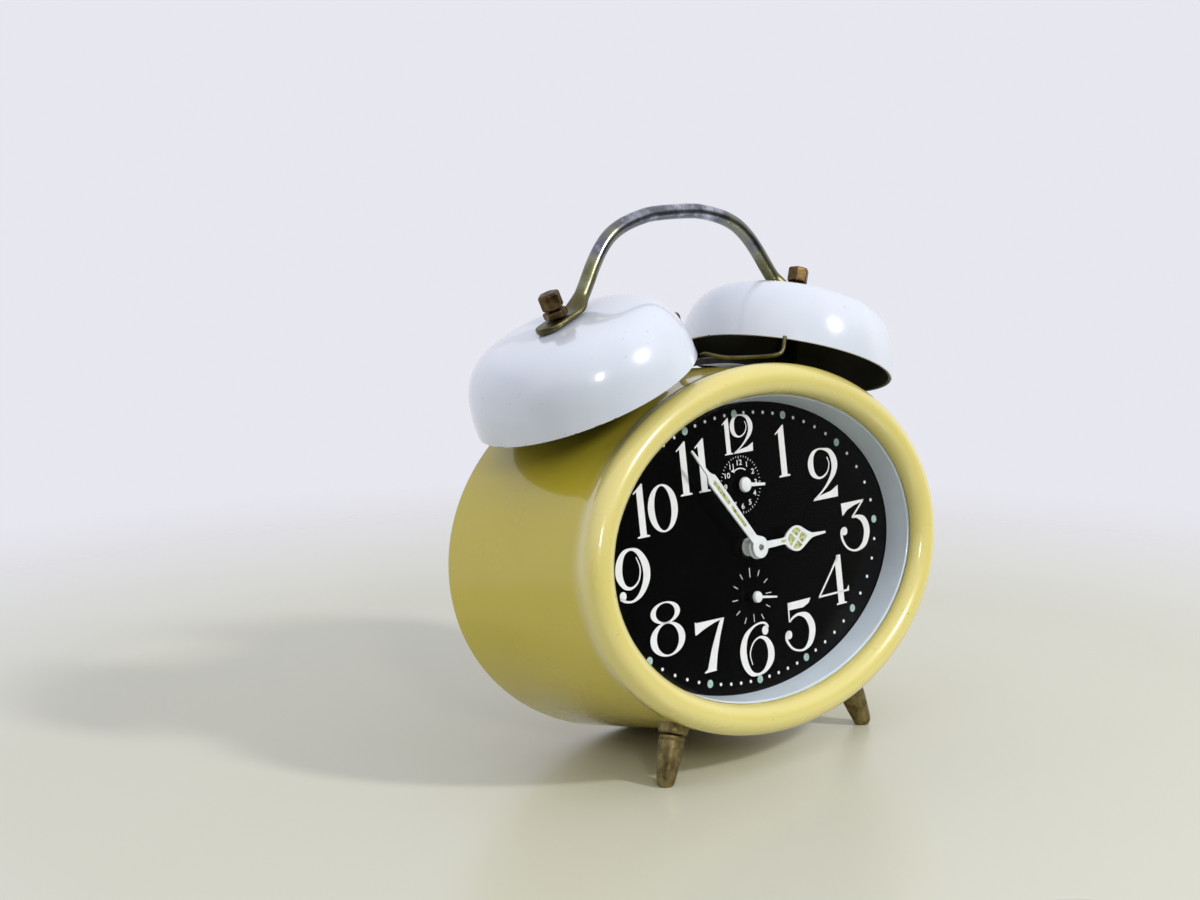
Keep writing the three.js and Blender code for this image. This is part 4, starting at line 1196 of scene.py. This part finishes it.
def build_cover():
    front, back = COVER_Y
    steps = ((0.0, back - 0.4), (0.3, back), (2.6, back), (3.4, back - 0.5), (5.6, back - 0.5),
             (6.4, back), (20.0, back), (40.0, back))
    insets = ((0.0, front), *steps)
    rings = [oval(COVER[0] - inset, COVER[1] - inset, y, FLAT_OVAL_STEPS) for inset, y in insets]
    # With no "bead" mask the cover takes yellow_enamel's drum tone, which is painted shade.
    cover = piece("cover_plate", [loft(rings)], "yellow_enamel", replaces=("rear_cover",))
    half = STOP["slot"]
    slot = box_part((STOP["x"] - half, front - 3, STOP["z"] - half),
                    (STOP["x"] + STOP["travel"] + half, back + 3, STOP["z"] + half))
    holes = [drill(0, 0, 2.0), drill(0, ALARM_Z, 2.0), drill(-48, 2, 1.6), drill(48, 2, 1.6)]
    holes += [drill(x, z, 2.6) for x, z, _ in SPRINGS]
    carve(cover, [*holes, slot, regulator_slot()])


def build_key(x, z, label):
    """A winding key: a turned hub with two pierced wings."""
    turned = [(1.9, 0), (2.6, 0), (2.9, 0.3), (2.9, 4.6), (2.4, 5.4),
              (0, 5.4), (0, 2.3), (1.9, 2.3), (1.9, 0)]
    outline = []
    for centre, start in ((6.2, -90), (-6.2, 90)):
        for i in range(19):
            t = math.radians(start + i * 10)
            outline.append((centre + 4.2 * math.cos(t), 4.2 * math.sin(t)))
    eyes = [circle(1.9, 6.6), circle(1.9, -6.6)]
    wings = flat_part([outline, *eyes], 1.6, 0.5, Matrix.Translation((x, KEY_Y + 6.6, z)))
    piece(f"{label}_key", [lathe(turned, 40, along_y(x, z, KEY_Y)), wings], "brass", f"{label}_key",
          replaces=(f"{label}_winding_key",))


def knurled(radius, teeth):
    loop = []
    for i in range(teeth * 6):
        t = 2 * math.pi * i / (teeth * 6)
        reach = radius - 0.3 + 0.3 * math.cos(teeth * t)
        loop.append((reach * math.cos(t), reach * math.sin(t)))
    return loop


def build_knob(z, radius, body, node):
    middle = Matrix.Translation((0, KNOB_Y + 3.0, z)) @ DIAL_MAP
    grip = flat_part([knurled(radius, 24)], 3.6, 0.45, middle)
    neck = radius * 0.62
    profile = [(1.3, 0), (radius * 0.6, 0), (neck, 0.2), (neck, 1.4), (1.3, 1.4)]
    collar = lathe(profile, 40, along_y(0, z, KNOB_Y))
    piece(f"{node}_grip", [grip, collar], "brass", body, replaces=(node,))


def build_stop():
    """The sliding button: its head outside the cover, with a stem and a disc inside."""
    head = [(0, 0), (2.9, 0), (3.2, 0.3), (3.2, 1.4), (2.6, 2.2), (2.2, 2.9), (1.2, 3.2), (0, 3.2)]
    stem = [(0, 0), (1.15, 0), (1.15, 10.2), (0, 10.2)]
    disc = [(0, 0), (2.5, 0), (2.5, 5), (0, 5)]
    parts = [lathe(profile, steps, along_y(STOP["x"], STOP["z"], y))
             for profile, steps, y in ((head, 40, 39.9), (stem, 24, 30), (disc, 32, 33))]
    piece("alarm_stop_knob", parts, "brass", "alarm_stop", replaces=("alarm_stop_button",))


# ---- The CAD nodes that stay ---------------------------------------------------------------------

KEPT = {
    "steel": ("regulator_lever", "time_winding_arbor", "alarm_winding_arbor", "time_mainspring",
              "alarm_mainspring", "centre_arbor", "alarm_arbor", "pallet_lever", "hairspring"),
    "brass": ("cover_screw_1", "cover_screw_2", "front_plate", "rear_plate", "pillar_1", "pillar_2",
              "pillar_3", "pillar_4", "time_great_wheel", "centre_wheel", "third_wheel",
              "fourth_wheel", "escape_wheel", "balance_wheel", "minute_wheel", "hour_wheel",
              "alarm_cam_wheel", "alarm_great_wheel", "strike_wheel"),
}


def finish_kept_nodes():
    for finish, names in KEPT.items():
        for name in names:
            node = frame["nodes"][name]
            node.data.materials.clear()
            node.data.materials.append(FINISHES[finish])
    for name in ("cover_screw_1", "cover_screw_2", "regulator_lever"):
        soften(frame["nodes"][name], 0.2)


# ---- Stage ------------------------------------------------------------------------------------------

FLOOR_RADIUS = 6.0
FLOOR_FADE = (0.17, 0.36)  # metres from the clock where the floor starts and ends to fade
BRIGHT = (0.80, 0.80, 0.87, 1)
DIM = (0.07, 0.065, 0.06, 1)
LIGHT_TARGET = Vector((0, 0, 0.06))
AZIMUTH = math.radians(44.24)
ELEVATION = math.radians(9.89)
DISTANCE = 0.5658
AIM = Vector((-0.02341, 0.01196, 0.07565))
LENS = 67.9  # on a 36 mm sensor


def build_floor():
    """A glossy cream counter round the clock that fades out into the pale studio."""
    skin = Finish("floor", (0.60, 0.59, 0.49), 0.2)
    distance = skin.node("ShaderNodeVectorMath")
    distance.operation = "LENGTH"
    skin.link(skin.place, distance.inputs[0])
    skin.color(skin.tones(3, 3, (0.3, (0.57, 0.57, 0.46)), (0.7, (0.60, 0.60, 0.49))))
    skin.gloss(8, 3, 0.26, 0.36)
    clear = skin.node("ShaderNodeBsdfTransparent")
    mix = skin.node("ShaderNodeMixShader")
    skin.link(skin.levels(distance.outputs["Value"], *FLOOR_FADE, 0.0, 1.0), mix.inputs["Fac"])
    skin.link(skin.shader.outputs["BSDF"], mix.inputs[1])
    skin.link(clear.outputs["BSDF"], mix.inputs[2])
    skin.link(mix.outputs["Shader"], skin.tree.nodes["Material Output"].inputs["Surface"])
    steps = 96
    disc = [(0, 0, 0)] + [(x, y, 0) for x, y in circle(FLOOR_RADIUS, steps=steps)]
    faces = [(0, i, i % steps + 1) for i in range(1, steps + 1)]
    mesh = bpy.data.meshes.new("floor")
    mesh.from_pydata(disc, [], faces)
    mesh.materials.append(skin.material)
    floor = bpy.data.objects.new("floor", mesh)
    bpy.context.scene.collection.objects.link(floor)


def area_light(name, place, size, power, color):
    light = bpy.data.lights.new(name, "AREA")
    light.shape = "RECTANGLE"
    light.size, light.size_y = size
    light.energy = power
    light.color = color
    lamp = bpy.data.objects.new(name, light)
    lamp.location = place
    lamp.rotation_euler = (LIGHT_TARGET - Vector(place)).to_track_quat("-Z", "Y").to_euler()
    bpy.context.scene.collection.objects.link(lamp)


def toward(tree, direction, start, end):
    """How far a ray points along a direction, from 0 at start to 1 at end."""
    place = tree.nodes.new("ShaderNodeTexCoord")
    share = tree.nodes.new("ShaderNodeVectorMath")
    share.operation = "DOT_PRODUCT"
    share.inputs[1].default_value = direction
    level = tree.nodes.new("ShaderNodeMapRange")
    level.inputs["From Min"].default_value = start
    level.inputs["From Max"].default_value = end
    tree.links.new(place.outputs["Generated"], share.inputs[0])
    tree.links.new(share.outputs["Value"], level.inputs["Value"])
    return level.outputs["Result"]


def combine(tree, operation, first, second):
    node = tree.nodes.new("ShaderNodeMath")
    node.operation = operation
    node.use_clamp = True
    tree.links.new(first, node.inputs[0])
    tree.links.new(second, node.inputs[1])
    return node.outputs["Value"]


def build_world():
    """A pale studio whose light is dim low down on the side that the dial looks at."""
    world = bpy.data.worlds.new("studio")
    world.use_nodes = True
    tree = world.node_tree
    front = toward(tree, (-0.30, -0.95, 0.0), 0.05, 0.45)
    low = toward(tree, (0.0, 0.0, 1.0), 0.5, 0.2)
    seen = tree.nodes.new("ShaderNodeLightPath").outputs["Is Camera Ray"]
    mix = tree.nodes.new("ShaderNodeMix")
    mix.data_type = "RGBA"
    mix.inputs["A"].default_value = BRIGHT
    mix.inputs["B"].default_value = DIM
    dim_share = combine(tree, "SUBTRACT", combine(tree, "MULTIPLY", front, low), seen)
    tree.links.new(dim_share, mix.inputs["Factor"])
    tree.links.new(mix.outputs["Result"], tree.nodes["Background"].inputs["Color"])
    bpy.context.scene.world = world


def build_lights():
    build_world()
    area_light("key", (0.36, -1.0, 0.85), (0.11, 0.15), 9, (1.0, 0.99, 0.97))
    area_light("window", (-0.62, -0.95, 0.6), (0.14, 0.2), 2.25, (1.0, 0.98, 0.94))


def build_camera():
    flat = math.cos(ELEVATION)
    ahead = Vector((math.sin(AZIMUTH) * flat, math.cos(AZIMUTH) * flat, -math.sin(ELEVATION)))
    data = bpy.data.cameras.new("camera")
    data.lens = LENS
    data.sensor_width = 36.0
    data.clip_start = 0.01
    camera = bpy.data.objects.new("camera", data)
    camera.location = AIM - ahead * DISTANCE
    camera.rotation_euler = ahead.to_track_quat("-Z", "Y").to_euler()
    bpy.context.scene.collection.objects.link(camera)
    bpy.context.scene.camera = camera
    bpy.context.scene.view_settings.view_transform = "Standard"


# ---- Assembly -----------------------------------------------------------------------------------------

build_camera()
build_case()
build_print()
build_minute_hand()
build_hour_hand()
build_small_hands()
for bell_side, bell_label in SIDES:
    build_bell(bell_side, bell_label)
    build_post(bell_side, bell_label)
    build_nuts(bell_side, bell_label)
    build_foot(bell_side, bell_label)
build_bridge()
build_handle()
build_hammer()
build_wire()
build_cover()
for spring_x, spring_z, spring_label in SPRINGS:
    build_key(spring_x, spring_z, spring_label)
build_knob(0.0, 6.0, "minute_set", "time_set_knob")
build_knob(ALARM_Z, 4.6, "alarm_set", "alarm_set_knob")
build_stop()
finish_kept_nodes()
build_floor()
build_lights()
